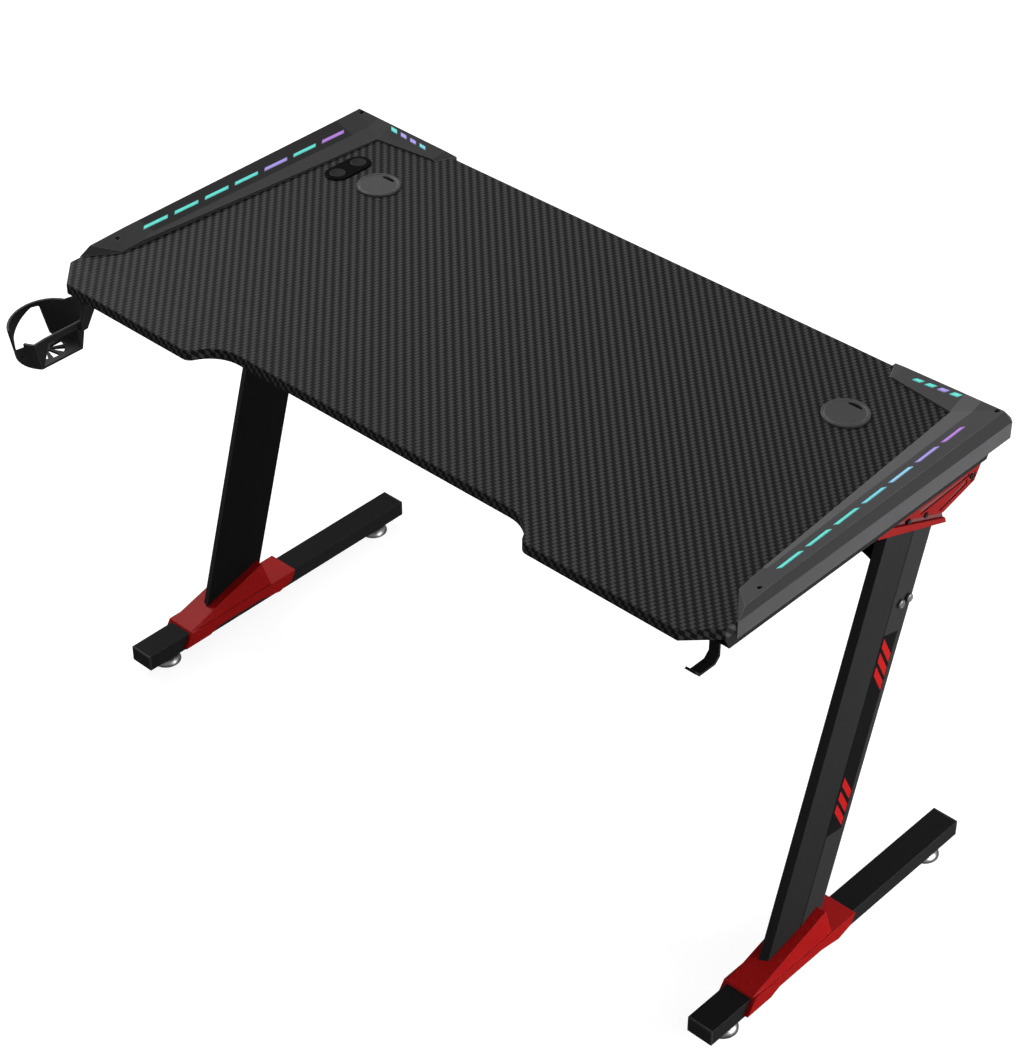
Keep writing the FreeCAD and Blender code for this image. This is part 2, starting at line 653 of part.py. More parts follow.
def make_trim_set():
    """Right trim, its light lenses, LED strips and screws."""
    c = trim_corners()
    body = trim_upper(c).fuse(trim_skirt(c)).removeSplitter()
    proud = body.copy()
    proud.translate(V(0, 0, LENS_PROUD))
    windows = light_windows(0)
    lenses = [proud.common(w).Solids[0] for w in light_windows(LENS_PLAY)]
    for channel in led_strip(LED_BOARD_WIDTH + LED_CHANNEL_PLAY, LENS_FLOOR, LENS_FLOOR):
        body = body.cut(channel)
    boards = list(led_strip(LED_BOARD_WIDTH, LENS_FLOOR, LED_BOARD_THICKNESS))
    for window in windows:
        body = body.cut(window)
    screws = []
    for place in trim_screw_places():
        seat = place + V(0, 0, LENS_FLOOR)
        through = rod(place - V(0, 0, OVERRUN), Z_AXIS, SCREW_RADIUS + SCREW_PLAY, LENS_FLOOR + 2 * OVERRUN)
        body = body.cut(through)
        body = body.cut(rod(seat, Z_AXIS, SCREW_HEAD_RADIUS + SCREW_PLAY, TRIM_REAR_RIDGE + OVERRUN))
        screws.append(countersunk_screw(seat))
    return body, group(lenses), group(boards), group(screws)


# Grommets

def make_grommet(side):
    """Sleeve with its flange, and the cap that turns in it."""
    centre = V(side * GROMMET_X, GROMMET_Y, TOP_HEIGHT)
    outer = GROMMET_HOLE / 2 - GROMMET_PLAY
    inner = outer - GROMMET_WALL
    flange = GROMMET_FLANGE / 2
    rim = flange - GROMMET_RIM_WIDTH
    sleeve = turned([(inner, -GROMMET_TAIL), (outer, -GROMMET_TAIL), (outer, 0), (flange, 0),
                     (flange, GROMMET_RIM - GROMMET_LEDGE), (flange - GROMMET_LEDGE, GROMMET_RIM),
                     (rim, GROMMET_RIM), (rim, GROMMET_LEDGE), (inner, GROMMET_LEDGE)], centre)
    under = GROMMET_LEDGE + CAP_PLAY
    disc = rim - CAP_PLAY
    skirt = inner - CAP_PLAY
    hollow = skirt - CAP_SKIRT_WALL
    top = under + CAP_DISC
    cap = turned([(0, under), (hollow, under), (hollow, -CAP_SKIRT), (skirt, -CAP_SKIRT), (skirt, under),
                  (disc, under), (disc, top), (disc - CAP_RIM, top + CAP_RIM),
                  (disc - CAP_RIM_WIDTH, top + CAP_RIM), (disc - CAP_RIM_WIDTH - CAP_RIM, top),
                  (0, top)], centre)
    z = centre.z - CAP_SKIRT - OVERRUN
    bulge = math.sqrt(SLOT_OUTER ** 2 - SLOT_HALF_LENGTH ** 2)
    left = centre.x - SLOT_HALF_LENGTH
    right = centre.x + SLOT_HALF_LENGTH
    corners = [V(left, centre.y + bulge, z), V(left, centre.y + SLOT_INNER, z),
               V(right, centre.y + SLOT_INNER, z), V(right, centre.y + bulge, z)]
    edges = [Part.makeLine(a, b) for a, b in zip(corners, corners[1:])]
    edges.append(Part.Arc(corners[3], V(centre.x, centre.y + SLOT_OUTER, z), corners[0]).toShape())
    slot = Part.Face(Part.Wire(edges)).extrude(V(0, 0, CAP_SKIRT + GROMMET_RIM + 2 * OVERRUN))
    return sleeve, cap.cut(slot)


# Light control

def button_places():
    """Centres of the two buttons on the board's face, front then rear."""
    return [V(CONTROL_X, CONTROL_Y + end * CONTROL_PITCH / 2, TOP_HEIGHT) for end in (-1, 1)]


def make_control_housing():
    """Pill-shaped plate with a hollow body that drops through the board."""
    plate_top = TOP_HEIGHT + CONTROL_PLATE
    bottom = TOP_HEIGHT - CONTROL_BODY_DEPTH
    plate = stadium(CONTROL_X, CONTROL_Y, CONTROL_RADIUS, CONTROL_PITCH, TOP_HEIGHT, plate_top)
    rim = [e for e in plate.Edges if e.BoundBox.ZMin > TOP_HEIGHT + CONTROL_PLATE / 2]
    plate = plate.makeChamfer(CONTROL_PLATE * CONTROL_EASE_SHARE, rim)
    body = stadium(CONTROL_X, CONTROL_Y, CONTROL_BODY_RADIUS, CONTROL_PITCH, bottom, TOP_HEIGHT)
    hollow = stadium(CONTROL_X, CONTROL_Y, CONTROL_BODY_RADIUS - CONTROL_WALL, CONTROL_PITCH,
                     bottom - OVERRUN, plate_top - CONTROL_ROOF)
    housing = plate.fuse(body).cut(hollow)
    for place in button_places():
        base = place - V(0, 0, CONTROL_ROOF + OVERRUN)
        length = CONTROL_ROOF + CONTROL_PLATE + 2 * OVERRUN
        housing = housing.cut(rod(base, Z_AXIS, BUTTON_RADIUS + BUTTON_PLAY, length))
    return housing.removeSplitter()


def button_levels():
    """Heights over the board's face: button top, flange top, flange bottom and stem end."""
    top = CONTROL_PLATE + BUTTON_PROUD
    flange = CONTROL_PLATE - CONTROL_ROOF - BUTTON_PLAY
    return top, flange, flange - BUTTON_FLANGE_HEIGHT, flange - BUTTON_FLANGE_HEIGHT - BUTTON_STEM


def make_button(place):
    """Dished push button with a retaining flange under the plate and a stem."""
    top, flange, under, stem = button_levels()
    wide = BUTTON_RADIUS + BUTTON_FLANGE
    return turned([(0, stem), (BUTTON_STEM_RADIUS, stem), (BUTTON_STEM_RADIUS, under),
                   (wide, under), (wide, flange), (BUTTON_RADIUS, flange),
                   (BUTTON_RADIUS, top - BUTTON_DISH), (BUTTON_RADIUS - BUTTON_DISH, top),
                   (BUTTON_RADIUS - 2 * BUTTON_DISH, top), (0, top - BUTTON_DISH)], place)


def make_control_board():
    """Circuit board across the housing with one switch under each button."""
    stem = button_levels()[3]
    switch_top = TOP_HEIGHT + stem - BUTTON_TRAVEL - BUTTON_PLAY
    face = switch_top - SWITCH_HEIGHT
    board = stadium(CONTROL_X, CONTROL_Y, CONTROL_BODY_RADIUS - CONTROL_WALL, CONTROL_PITCH,
                    face - CONTROL_BOARD_THICKNESS, face)
    half = SWITCH_SIZE / 2
    for place in button_places():
        switch = box(place.x - half, place.x + half, place.y - half, place.y + half, face, switch_top)
        board = board.fuse(switch)
    return board.removeSplitter()


# Rails, feet and glides

def make_rail():
    """Rectangular tube under the board with both ends cut on a slant."""
    x0 = LEG_X - RAIL_WIDTH / 2
    outline = [V(x0, RAIL_FRONT, UNDERSIDE), V(x0, RAIL_FRONT + RAIL_END_SLANT, RAIL_BOTTOM),
               V(x0, RAIL_REAR - RAIL_END_SLANT, RAIL_BOTTOM), V(x0, RAIL_REAR, UNDERSIDE)]
    rail = prism(outline, V(RAIL_WIDTH, 0, 0))
    rail = rail.cut(box(x0 + RAIL_WALL, x0 + RAIL_WIDTH - RAIL_WALL,
                        RAIL_FRONT - OVERRUN, RAIL_REAR + OVERRUN,
                        RAIL_BOTTOM + RAIL_WALL, UNDERSIDE - RAIL_WALL))
    for place in rail_screw_places():
        base = V(place.x, place.y, RAIL_BOTTOM - OVERRUN)
        rail = rail.cut(rod(base, Z_AXIS, SCREW_HEAD_RADIUS + SCREW_PLAY, RAIL_WALL + 2 * OVERRUN))
        rail = rail.cut(rod(base, Z_AXIS, SCREW_RADIUS + SCREW_PLAY, RAIL_HEIGHT + 2 * OVERRUN))
    return rail


def screw_hole(place, axis):
    """Hole for a screw through a tube's wall."""
    return rod(place - axis * OVERRUN, axis, SCREW_RADIUS + SCREW_PLAY, RAIL_WALL + 2 * OVERRUN)


def pan_screw(length):
    """Pan-head screw along +z, its head bearing on z = 0."""
    head = turned([(0, -SCREW_HEAD_HEIGHT), (SCREW_HEAD_RADIUS / 2, -SCREW_HEAD_HEIGHT),
                   (SCREW_HEAD_RADIUS, -SCREW_HEAD_HEIGHT / 2), (SCREW_HEAD_RADIUS, 0), (0, 0)], V(0, 0, 0))
    return head.fuse(rod(V(0, 0, 0), Z_AXIS, SCREW_RADIUS, length))


def underside_screw(place, grip):
    """Screw from below: its head bears on the lower face of a wall of the given grip."""
    screw = pan_screw(grip + SCREW_DEPTH - OVERRUN / 2)
    screw.translate(place - V(0, 0, grip))
    return screw


def holder_screw(place):
    """Screw through the cup holder's seat into the left rail's outer wall."""
    screw = pan_screw(HOLDER_ARM_THICKNESS + RAIL_WALL + OVERRUN)
    screw.Placement = FreeCAD.Placement(place, FreeCAD.Rotation(Z_AXIS, X_AXIS))
    return screw


def glide_places():
    """Centres of the right foot's glides on the floor, front then rear."""
    return [V(LEG_X, FOOT_FRONT + GLIDE_INSET, 0), V(LEG_X, FOOT_REAR - GLIDE_INSET, 0)]


def make_foot():
    """Rectangular tube that lies front to rear, open at both ends for its plugs."""
    x0 = LEG_X - FOOT_WIDTH / 2
    y0 = FOOT_FRONT + FOOT_CAP_FLANGE
    y1 = FOOT_REAR - FOOT_CAP_FLANGE
    foot = box(x0, x0 + FOOT_WIDTH, y0, y1, GLIDE_HEIGHT, FOOT_TOP)
    foot = foot.cut(box(x0 + FOOT_WALL, x0 + FOOT_WIDTH - FOOT_WALL, y0 - OVERRUN, y1 + OVERRUN,
                        GLIDE_HEIGHT + FOOT_WALL, FOOT_TOP - FOOT_WALL))
    for place in glide_places():
        base = place + V(0, 0, GLIDE_HEIGHT - OVERRUN)
        foot = foot.cut(rod(base, Z_AXIS, GLIDE_STEM_RADIUS + GLIDE_HOLE_PLAY, FOOT_WALL + 2 * OVERRUN))
    return foot


def make_foot_caps():
    """Plastic end plugs of the right foot."""
    x0 = LEG_X - FOOT_WIDTH / 2
    plug_x = x0 + FOOT_WALL + FOOT_CAP_PLAY
    plug_width = FOOT_WIDTH - 2 * (FOOT_WALL + FOOT_CAP_PLAY)
    z0 = GLIDE_HEIGHT + FOOT_WALL + FOOT_CAP_PLAY
    z1 = FOOT_TOP - FOOT_WALL - FOOT_CAP_PLAY
    caps = []
    for face, inward in ((FOOT_FRONT, 1), (FOOT_REAR, -1)):
        seat = face + inward * FOOT_CAP_FLANGE
        tail = seat + inward * FOOT_CAP_PLUG
        flange = box(x0, x0 + FOOT_WIDTH, min(face, seat), max(face, seat), GLIDE_HEIGHT, FOOT_TOP)
        outer = [e for e in flange.Edges if abs(e.CenterOfMass.y - face) < FOOT_CAP_FLANGE / 4]
        flange = flange.makeChamfer(FOOT_CAP_FLANGE * FOOT_CAP_EASE_SHARE, outer)
        plug = box(plug_x, plug_x + plug_width, min(seat, tail), max(seat, tail), z0, z1)
        beyond = tail + inward * OVERRUN
        core = box(plug_x + FOOT_WALL, plug_x + plug_width - FOOT_WALL,
                   min(seat, beyond), max(seat, beyond), z0 + FOOT_WALL, z1 - FOOT_WALL)
        caps.append(flange.fuse(plug.cut(core)).removeSplitter())
    return group(caps)


def make_glide(place):
    """Bell-shaped levelling glide, widest on the floor, with its threaded stem."""
    top = GLIDE_HEIGHT - GLIDE_GAP
    rim = V(GLIDE_RADIUS, 0, GLIDE_RIM)
    neck = V(GLIDE_NECK_RADIUS, 0, top - GLIDE_NECK)
    chord = neck - rim
    swell = V(chord.z, 0, -chord.x).normalize() * (chord.Length * GLIDE_SWELL_SHARE)
    stem_top = top + GLIDE_STEM
    start = [V(0, 0, 0), V(GLIDE_RADIUS - GLIDE_RIM_EASE, 0, 0), V(GLIDE_RADIUS, 0, GLIDE_RIM_EASE), rim]
    rest = [neck, V(GLIDE_NECK_RADIUS, 0, top), V(GLIDE_STEM_RADIUS, 0, top),
            V(GLIDE_STEM_RADIUS, 0, stem_top), V(0, 0, stem_top), V(0, 0, 0)]
    edges = [Part.makeLine(a, b) for a, b in zip(start, start[1:])]
    edges.append(Part.Arc(rim, (rim + neck) / 2 + swell, neck).toShape())
    edges += [Part.makeLine(a, b) for a, b in zip(rest, rest[1:])]
    glide = Part.Face(Part.Wire(edges)).revolve(V(0, 0, 0), Z_AXIS, math.degrees(2 * math.pi))
    glide.translate(place)
    return glide


def make_glide_nuts():
    """Hexagonal nuts on the floor of the right foot's tube."""
    nuts = []
    corner = NUT_ACROSS_FLATS / math.sqrt(3)
    turns = [k * math.pi / 3 for k in range(6)]
    for place in glide_places():
        seat = place + V(0, 0, GLIDE_HEIGHT + FOOT_WALL)
        corners = [seat + V(corner * math.cos(turn), corner * math.sin(turn), 0) for turn in turns]
        nut = prism(corners, V(0, 0, NUT_HEIGHT))
        thread = rod(seat - V(0, 0, OVERRUN), Z_AXIS, GLIDE_STEM_RADIUS + GLIDE_FIT, NUT_HEIGHT + 2 * OVERRUN)
        nuts.append(nut.cut(thread))
    return group(nuts)


# Columns

def column_section(z):
    """Outline of the column at a height: flat inside, one crease outside, slanted front and rear."""
    y = column_front(z)
    inside = LEG_X - COLUMN_INNER_OFFSET
    outside = inside + COLUMN_THICKNESS
    return [V(inside, y - COLUMN_FRONT_SLANT, z), V(outside, y, z),
            V(outside + COLUMN_CREASE, y + COLUMN_DEPTH * COLUMN_CREASE_SHARE, z),
            V(outside, y + COLUMN_DEPTH, z), V(inside, y + COLUMN_DEPTH - COLUMN_REAR_SLANT, z)]


def column_solid(z0, z1):
    """Column as a full bar between two heights."""
    rise = z1 - z0
    return prism(column_section(z0), V(0, LEAN * rise, rise))


def beam_bolt_places():
    """Beam bolts of the right column, on its inner face."""
    middle = BEAM_FRONT + BEAM_DEPTH / 2
    x = LEG_X - COLUMN_INNER_OFFSET
    z = BEAM_TOE + BEAM_BOLT_RISE
    return [V(x, middle + side * BEAM_BOLT_PITCH / 2, z) for side in (-1, 1)]


def make_column():
    """Pressed tube from the foot to the bracket's flange."""
    rise = COLUMN_TOP - FOOT_TOP
    section = Part.makePolygon(column_section(FOOT_TOP) + column_section(FOOT_TOP)[:1])
    bore = Part.Face(section.makeOffset2D(-COLUMN_WALL, 2)).extrude(V(0, LEAN * rise, rise))
    tube = column_solid(FOOT_TOP, COLUMN_TOP).cut(bore)
    for place in beam_bolt_places():
        length = COLUMN_THICKNESS + COLUMN_CREASE + 2 * OVERRUN
        tube = tube.cut(rod(place - V(OVERRUN, 0, 0), X_AXIS, BOLT_RADIUS + BOLT_PLAY, length))
    return tube


# Covers at the feet of the columns

def collar(inset):
    """Wedge that rises to the rear round the column; an inset gives its hollow."""
    front = COVER_FRONT + inset
    rear = COVER_COLLAR_REAR - inset
    tail = rear + COVER_COLLAR_TAIL
    low = FOOT_TOP - COVER_WALL
    crown = COVER_NOSE_TOP - inset
    peak = crown + LEAN * (rear - front)
    corners = {}
    for side in (-1, 1):
        corners["foot_front", side] = V(LEG_X + side * (COVER_HALF_WIDTH - inset), front, low)
        corners["foot_rear", side] = V(LEG_X + side * (COVER_COLLAR_FOOT_HALF - inset), tail, low)
        corners["crown_front", side] = V(LEG_X + side * (COVER_COLLAR_FRONT_HALF - inset), front, crown)
        corners["crown_rear", side] = V(LEG_X + side * (COVER_COLLAR_REAR_HALF - inset), rear, peak)
    faces = [facet(*[corners[name, side] for name, side in ring]) for ring in (
        [("foot_front", -1), ("foot_rear", -1), ("foot_rear", 1), ("foot_front", 1)],
        [("crown_front", -1), ("crown_front", 1), ("crown_rear", 1), ("crown_rear", -1)],
        [("foot_front", -1), ("foot_front", 1), ("crown_front", 1), ("crown_front", -1)],
        [("foot_rear", -1), ("foot_rear", 1), ("crown_rear", 1), ("crown_rear", -1)])]
    for side in (-1, 1):
        faces.append(facet(corners["foot_front", side], corners["foot_rear", side],
                           corners["crown_rear", side], corners["crown_front", side]))
    return moulding(faces)


def cover_skirt():
    """Saddle over the foot, with a pointed nose and a wavy lower edge."""
    x0 = LEG_X - COVER_HALF_WIDTH
    length = COVER_REAR - COVER_FRONT
    arch = COVER_SKIRT + COVER_SKIRT_ARCH
    wave = [COVER_FRONT + share * length for share in COVER_WAVE_SHARES]
    outline = [V(x0, COVER_FRONT - COVER_NOSE, COVER_SKIRT),
               V(x0, wave[0], COVER_SKIRT),
               V(x0, wave[1], arch),
               V(x0, wave[2], arch),
               V(x0, wave[3], COVER_SKIRT),
               V(x0, COVER_REAR - COVER_TAIL_CUT, arch),
               V(x0, COVER_REAR, COVER_TOP),
               V(x0, COVER_COLLAR_REAR, COVER_TOP),
               V(x0, COVER_FRONT, COVER_NOSE_TOP)]
    return prism(outline, V(2 * COVER_HALF_WIDTH, 0, 0))


def make_foot_cover():
    """Shell over the foot with a collar round the column."""
    cover = cover_skirt().fuse(collar(0)).removeSplitter()
    x0 = LEG_X - FOOT_WIDTH / 2
    foot = box(x0, x0 + FOOT_WIDTH, FOOT_FRONT, FOOT_REAR, GLIDE_HEIGHT - OVERRUN, FOOT_TOP)
    cover = cover.cut(foot).cut(collar(COVER_WALL).cut(foot))
    inner = Part.makePolygon(column_section(FOOT_TOP) + column_section(FOOT_TOP)[:1])
    rise = COVER_TOP + COLUMN_DEPTH
    hole = Part.Face(inner.makeOffset2D(COVER_PLAY, 2)).extrude(V(0, LEAN * rise, rise))
    cover = cover.cut(hole)
    return max(cover.Solids, key=lambda s: s.Volume)


# Brackets

def bracket_bolt_places():
    """Bolts on the outer cheek of the right bracket: two over the collar, one in the tail's pocket."""
    x = BRACKET_CHEEK_X + BRACKET_CHEEK
    return [V(x, COLUMN_HEAD + BRACKET_BOLT_FRONT, COLUMN_TOP - BRACKET_BOLT_FRONT_DROP),
            V(x, COLUMN_HEAD + BRACKET_BOLT_MIDDLE, COLUMN_TOP - BRACKET_BOLT_MIDDLE_DROP),
            V(x - BRACKET_RECESS, COLUMN_HEAD + BRACKET_BOLT_REAR, COLUMN_TOP - BRACKET_BOLT_REAR_DROP)]


def bracket_lip(x):
    """Collar band across the column, in the plane at x: lower front, lower rear, upper rear, upper front."""
    low = COLUMN_TOP - BRACKET_LIP_DROP
    low_front = V(x, COLUMN_HEAD + BRACKET_LIP_FRONT, low + BRACKET_LIP_RISE)
    low_rear = V(x, COLUMN_HEAD + BRACKET_LIP_REAR, low)
    up_front = low_front + V(0, BRACKET_LIP_SLANT, BRACKET_LIP_HEIGHT)
    up_rear = low_rear + V(0, -BRACKET_LIP_SLANT, BRACKET_LIP_HEIGHT)
    return [low_front, low_rear, up_rear, up_front]


def bracket_slots(x):
    """Recesses down to the plane at x: two tapered slots with a rib between, a pocket and a groove."""
    out = V(OVERRUN, 0, 0)
    high = V(x, COLUMN_HEAD, COLUMN_TOP - BRACKET_SLOT_DROP)
    low = V(x, COLUMN_HEAD, COLUMN_TOP - BRACKET_LOW_SLOT_DROP)
    upper = [high + V(0, BRACKET_SLOT_FRONT, 0), high + V(0, BRACKET_SLOT_FRONT, -BRACKET_SLOT_WIDTH),
             high + V(0, BRACKET_SLOT_REAR, -BRACKET_SLOT_TIP), high + V(0, BRACKET_SLOT_REAR, 0)]
    lower = [low + V(0, BRACKET_LOW_SLOT_FRONT, 0), low + V(0, BRACKET_LOW_SLOT_FRONT, BRACKET_LOW_SLOT_TIP),
             low + V(0, BRACKET_LOW_SLOT_REAR, BRACKET_LOW_SLOT_RISE + BRACKET_LOW_SLOT_WIDTH),
             low + V(0, BRACKET_LOW_SLOT_REAR, BRACKET_LOW_SLOT_RISE)]
    tail = bracket_bolt_places()[2]
    pocket = rod(V(x, tail.y, tail.z), X_AXIS, BRACKET_POCKET_RADIUS, OVERRUN)
    low_front, low_rear, up_rear, up_front = bracket_lip(x)
    front_share = BRACKET_GROOVE_FRONT / BRACKET_LIP_HEIGHT
    rear_share = BRACKET_GROOVE_REAR / BRACKET_LIP_HEIGHT
    groove = [up_front, up_front + (low_front - up_front) * front_share,
              up_rear + (low_rear - up_rear) * rear_share, up_rear]
    return [prism(outline, out) for outline in (upper, lower, groove)] + [pocket]


def make_bracket():
    """Welded bracket: flange under the rail, cheek beside the column and a collar round its top."""
    x0 = LEG_X - RAIL_WIDTH / 2 + RAIL_WALL
    face = BRACKET_CHEEK_X + BRACKET_CHEEK
    front = COLUMN_HEAD + BRACKET_FRONT
    rear = COLUMN_HEAD + BRACKET_REAR
    flange = box(x0, face, front, rear, COLUMN_TOP, RAIL_BOTTOM)
    for place in rail_screw_places():
        access = V(place.x, place.y, COLUMN_TOP - OVERRUN)
        flange = flange.cut(rod(access, Z_AXIS, SCREW_HEAD_RADIUS + SCREW_PLAY, BRACKET_FLANGE + 2 * OVERRUN))
    inner = LEG_X - BRACKET_LIP_INNER_OFFSET
    band = prism(bracket_lip(inner), V(face + BRACKET_LIP_PROUD - inner, 0, 0))
    edge = bracket_lip(BRACKET_CHEEK_X)
    outline = [V(BRACKET_CHEEK_X, front, COLUMN_TOP), edge[0], edge[1], edge[2],
               V(BRACKET_CHEEK_X, COLUMN_HEAD + BRACKET_TAIL, COLUMN_TOP - BRACKET_TAIL_DROP),
               V(BRACKET_CHEEK_X, rear, COLUMN_TOP)]
    cheek = prism(outline, V(BRACKET_CHEEK, 0, 0))
    below = box(x0 - RAIL_WIDTH, face + RAIL_WIDTH, FRONT, REAR, 0, COLUMN_TOP)
    shape = flange.fuse(band.common(below)).fuse(cheek)
    shape = shape.cut(column_solid(edge[1].z - BRACKET_LIP_HEIGHT, COLUMN_TOP))
    for slot in bracket_slots(face - BRACKET_RECESS):
        shape = shape.cut(slot.common(below))
    for place in bracket_bolt_places():
        back = place - V(2 * BRACKET_CHEEK, 0, 0)
        shape = shape.cut(rod(back, X_AXIS, BRACKET_BOLT_RADIUS + BOLT_PLAY, 3 * BRACKET_CHEEK))
        shape = shape.cut(rod(place, X_AXIS, BRACKET_BOLT_HEAD_RADIUS + BOLT_PLAY, OVERRUN))
    return max(shape.removeSplitter().Solids, key=lambda s: s.Volume)


def bolt(seat, radius, head_radius, head_height, grip):
    """Button-head bolt along +x: its head stands out from the seat, its shank runs back from it."""
    ease = head_height * BOLT_EASE_SHARE
    profile = [(0, -grip), (radius, -grip), (radius, 0), (head_radius, 0),
               (head_radius, head_height - ease), (head_radius - ease, head_height), (0, head_height)]
    shape = turned(profile, V(0, 0, 0))
    shape.Placement = FreeCAD.Placement(seat, FreeCAD.Rotation(Z_AXIS, X_AXIS))
    return shape


def make_bracket_bolts():
    """Short bolts in the cheek of the right bracket."""
    sizes = (BRACKET_BOLT_RADIUS, BRACKET_BOLT_HEAD_RADIUS, BRACKET_BOLT_HEAD_HEIGHT, BRACKET_CHEEK)
    return group([bolt(place, *sizes) for place in bracket_bolt_places()])


def make_beam_bolts():
    """Long bolts through the right column into the end wall of the beam."""
    grip = COLUMN_THICKNESS + COLUMN_CREASE + BEAM_WALL + OVERRUN
    seats = [V(place.x + COLUMN_THICKNESS + COLUMN_CREASE, place.y, place.z) for place in beam_bolt_places()]
    return group([bolt(seat, BOLT_RADIUS, BOLT_HEAD_RADIUS, BOLT_HEAD_HEIGHT, grip) for seat in seats])


# Beam

def make_crossbeam():
    """Folded channel, open to the front, whose ends turn down the columns in quarter rounds."""
    end = LEG_X - COLUMN_INNER_OFFSET
    low = BEAM_TOP - BEAM_HEIGHT
    heel = end - BEAM_END
    start = heel - BEAM_FLARE
    half = BEAM_FLARE / math.sqrt(2)
    y = BEAM_FRONT

    def flare(side):
        centre = V(side * start, y, low - BEAM_FLARE)
        foot = V(side * heel, y, low - BEAM_FLARE)
        return [V(side * start, y, low), centre + V(side * half, 0, half), foot]

    right = flare(1)
    left = flare(-1)
    right_leg = [right[2], V(heel, y, BEAM_TOE), V(end, y, BEAM_TOE), V(end, y, BEAM_TOP)]
    corners = right_leg + [twin(place) for place in reversed(right_leg)]
    edges = [Part.makeLine(a, b) for a, b in zip(corners, corners[1:])]
    edges.append(Part.Arc(left[2], left[1], left[0]).toShape())
    edges.append(Part.makeLine(left[0], right[0]))
    edges.append(Part.Arc(right[0], right[1], right[2]).toShape())
    outline = Part.Wire(edges)
    beam = Part.Face(outline).extrude(V(0, BEAM_DEPTH, 0))
    hollow = Part.Face(outline.makeOffset2D(-BEAM_WALL, 2)).extrude(V(0, BEAM_DEPTH, 0))
    hollow.translate(V(0, -BEAM_WALL, 0))
    beam = beam.cut(hollow)
    for place in beam_bolt_places():
        for spot in (place - V(OVERRUN, 0, 0), twin(place) - V(OVERRUN, 0, 0)):
            beam = beam.cut(rod(spot, X_AXIS, BOLT_RADIUS + BOLT_PLAY, 2 * OVERRUN))
    return beam


# Cup holder

def holder_radius(z):
    """Outer radius of the tapered cup at a height."""
    taper = (HOLDER_RADIUS - HOLDER_BASE_RADIUS) / HOLDER_HEIGHT
    return HOLDER_BASE_RADIUS + taper * (z - HOLDER_BASE)


def holder_chord(z):
    """Half the length of the cup's flat side at a height."""
    return math.sqrt(holder_radius(z) ** 2 - HOLDER_FLAT ** 2)


def holder_arm_ends():
    """Depths of the arm's rear edge at its foot and at its seat on the rail."""
    foot_z = HOLDER_BASE + HOLDER_ARM_FOOT
    foot = HOLDER_Y + holder_chord(foot_z)
    return foot, foot + HOLDER_ARM_LEAN_SHARE * (RAIL_BOTTOM - foot_z)


def holder_cup(inset, z0, z1):
    """Tapered round cup with one flat side towards the desk."""
    centre = V(HOLDER_X, HOLDER_Y, z0)
    cone = Part.makeCone(holder_radius(z0) - inset, holder_radius(z1) - inset, z1 - z0, centre)
    reach = holder_radius(z1) + OVERRUN
    front = HOLDER_Y - reach
    return cone.common(box(HOLDER_X - reach, HOLDER_FACE - inset, front, HOLDER_Y + reach, z0, z1))


def rim_cut(peak):
    """Blocks that trim the rim: it falls to the front, and at its rear a shoulder rises to the arm."""
    reach = holder_radius(peak) + OVERRUN
    over = peak + OVERRUN
    fall = HOLDER_RIM_FALL * reach / HOLDER_RADIUS / 2
    middle = HOLDER_RIM - HOLDER_RIM_FALL / 2
    x0 = HOLDER_X - reach
    turn = HOLDER_X - HOLDER_SHOULDER_RUN
    front = HOLDER_Y - reach
    rear = HOLDER_Y + reach
    ahead = prism([V(x0, front, middle - fall), V(x0, HOLDER_Y, middle), V(x0, HOLDER_Y, over),
                   V(x0, front, over)], V(2 * reach, 0, 0))
    behind = prism([V(x0, HOLDER_Y, middle), V(x0, rear, middle + fall), V(x0, rear, over),
                    V(x0, HOLDER_Y, over)], V(turn - x0, 0, 0))
    shoulder = prism([V(turn, HOLDER_Y, HOLDER_RIM), V(HOLDER_FACE, HOLDER_Y, peak),
                      V(HOLDER_FACE, HOLDER_Y, over), V(turn, HOLDER_Y, over)], V(0, reach, 0))
    side = box(HOLDER_FACE - HOLDER_WALL, HOLDER_FACE + OVERRUN, front,
               HOLDER_Y + holder_chord(HOLDER_FLAT_TOP) - HOLDER_WALL, HOLDER_FLAT_TOP, over)
    return [ahead, behind, shoulder, side]


def round_window():
    """Opening through the outer wall, its upper edge sloping down to the front."""
    foot = HOLDER_BASE + HOLDER_FLOOR + HOLDER_SILL
    height = HOLDER_RIM - HOLDER_BAND - foot
    shares = zip(HOLDER_WINDOW_DEPTH_SHARES, HOLDER_WINDOW_HEIGHT_SHARES)
    outline = []
    for across, up in shares:
        outline.append(V(HOLDER_X, HOLDER_Y + across * HOLDER_BASE_RADIUS, foot + up * height))
    return rounded(prism(outline, V(-2 * HOLDER_RADIUS, 0, 0)))


def flat_window():
    """Opening in the flat side, narrower at the top towards the front."""
    foot = HOLDER_BASE + HOLDER_FLOOR
    half = holder_chord(HOLDER_BASE) - HOLDER_POST
    top = HOLDER_FLAT_TOP - HOLDER_BAND
    x = HOLDER_FACE - HOLDER_WALL - OVERRUN
    outline = [V(x, HOLDER_Y - half, foot), V(x, HOLDER_Y + half, foot), V(x, HOLDER_Y + half, top),
               V(x, HOLDER_Y - half * HOLDER_FLAT_WINDOW_SHARE, top)]
    return prism(outline, V(HOLDER_WALL + 2 * OVERRUN, 0, 0))


def rounded(block):
    """Block with the edges along x rounded."""
    edges = [e for e in block.Edges if e.BoundBox.XLength > HOLDER_RADIUS]
    return block.makeFillet(HOLDER_WINDOW_RADIUS, edges)


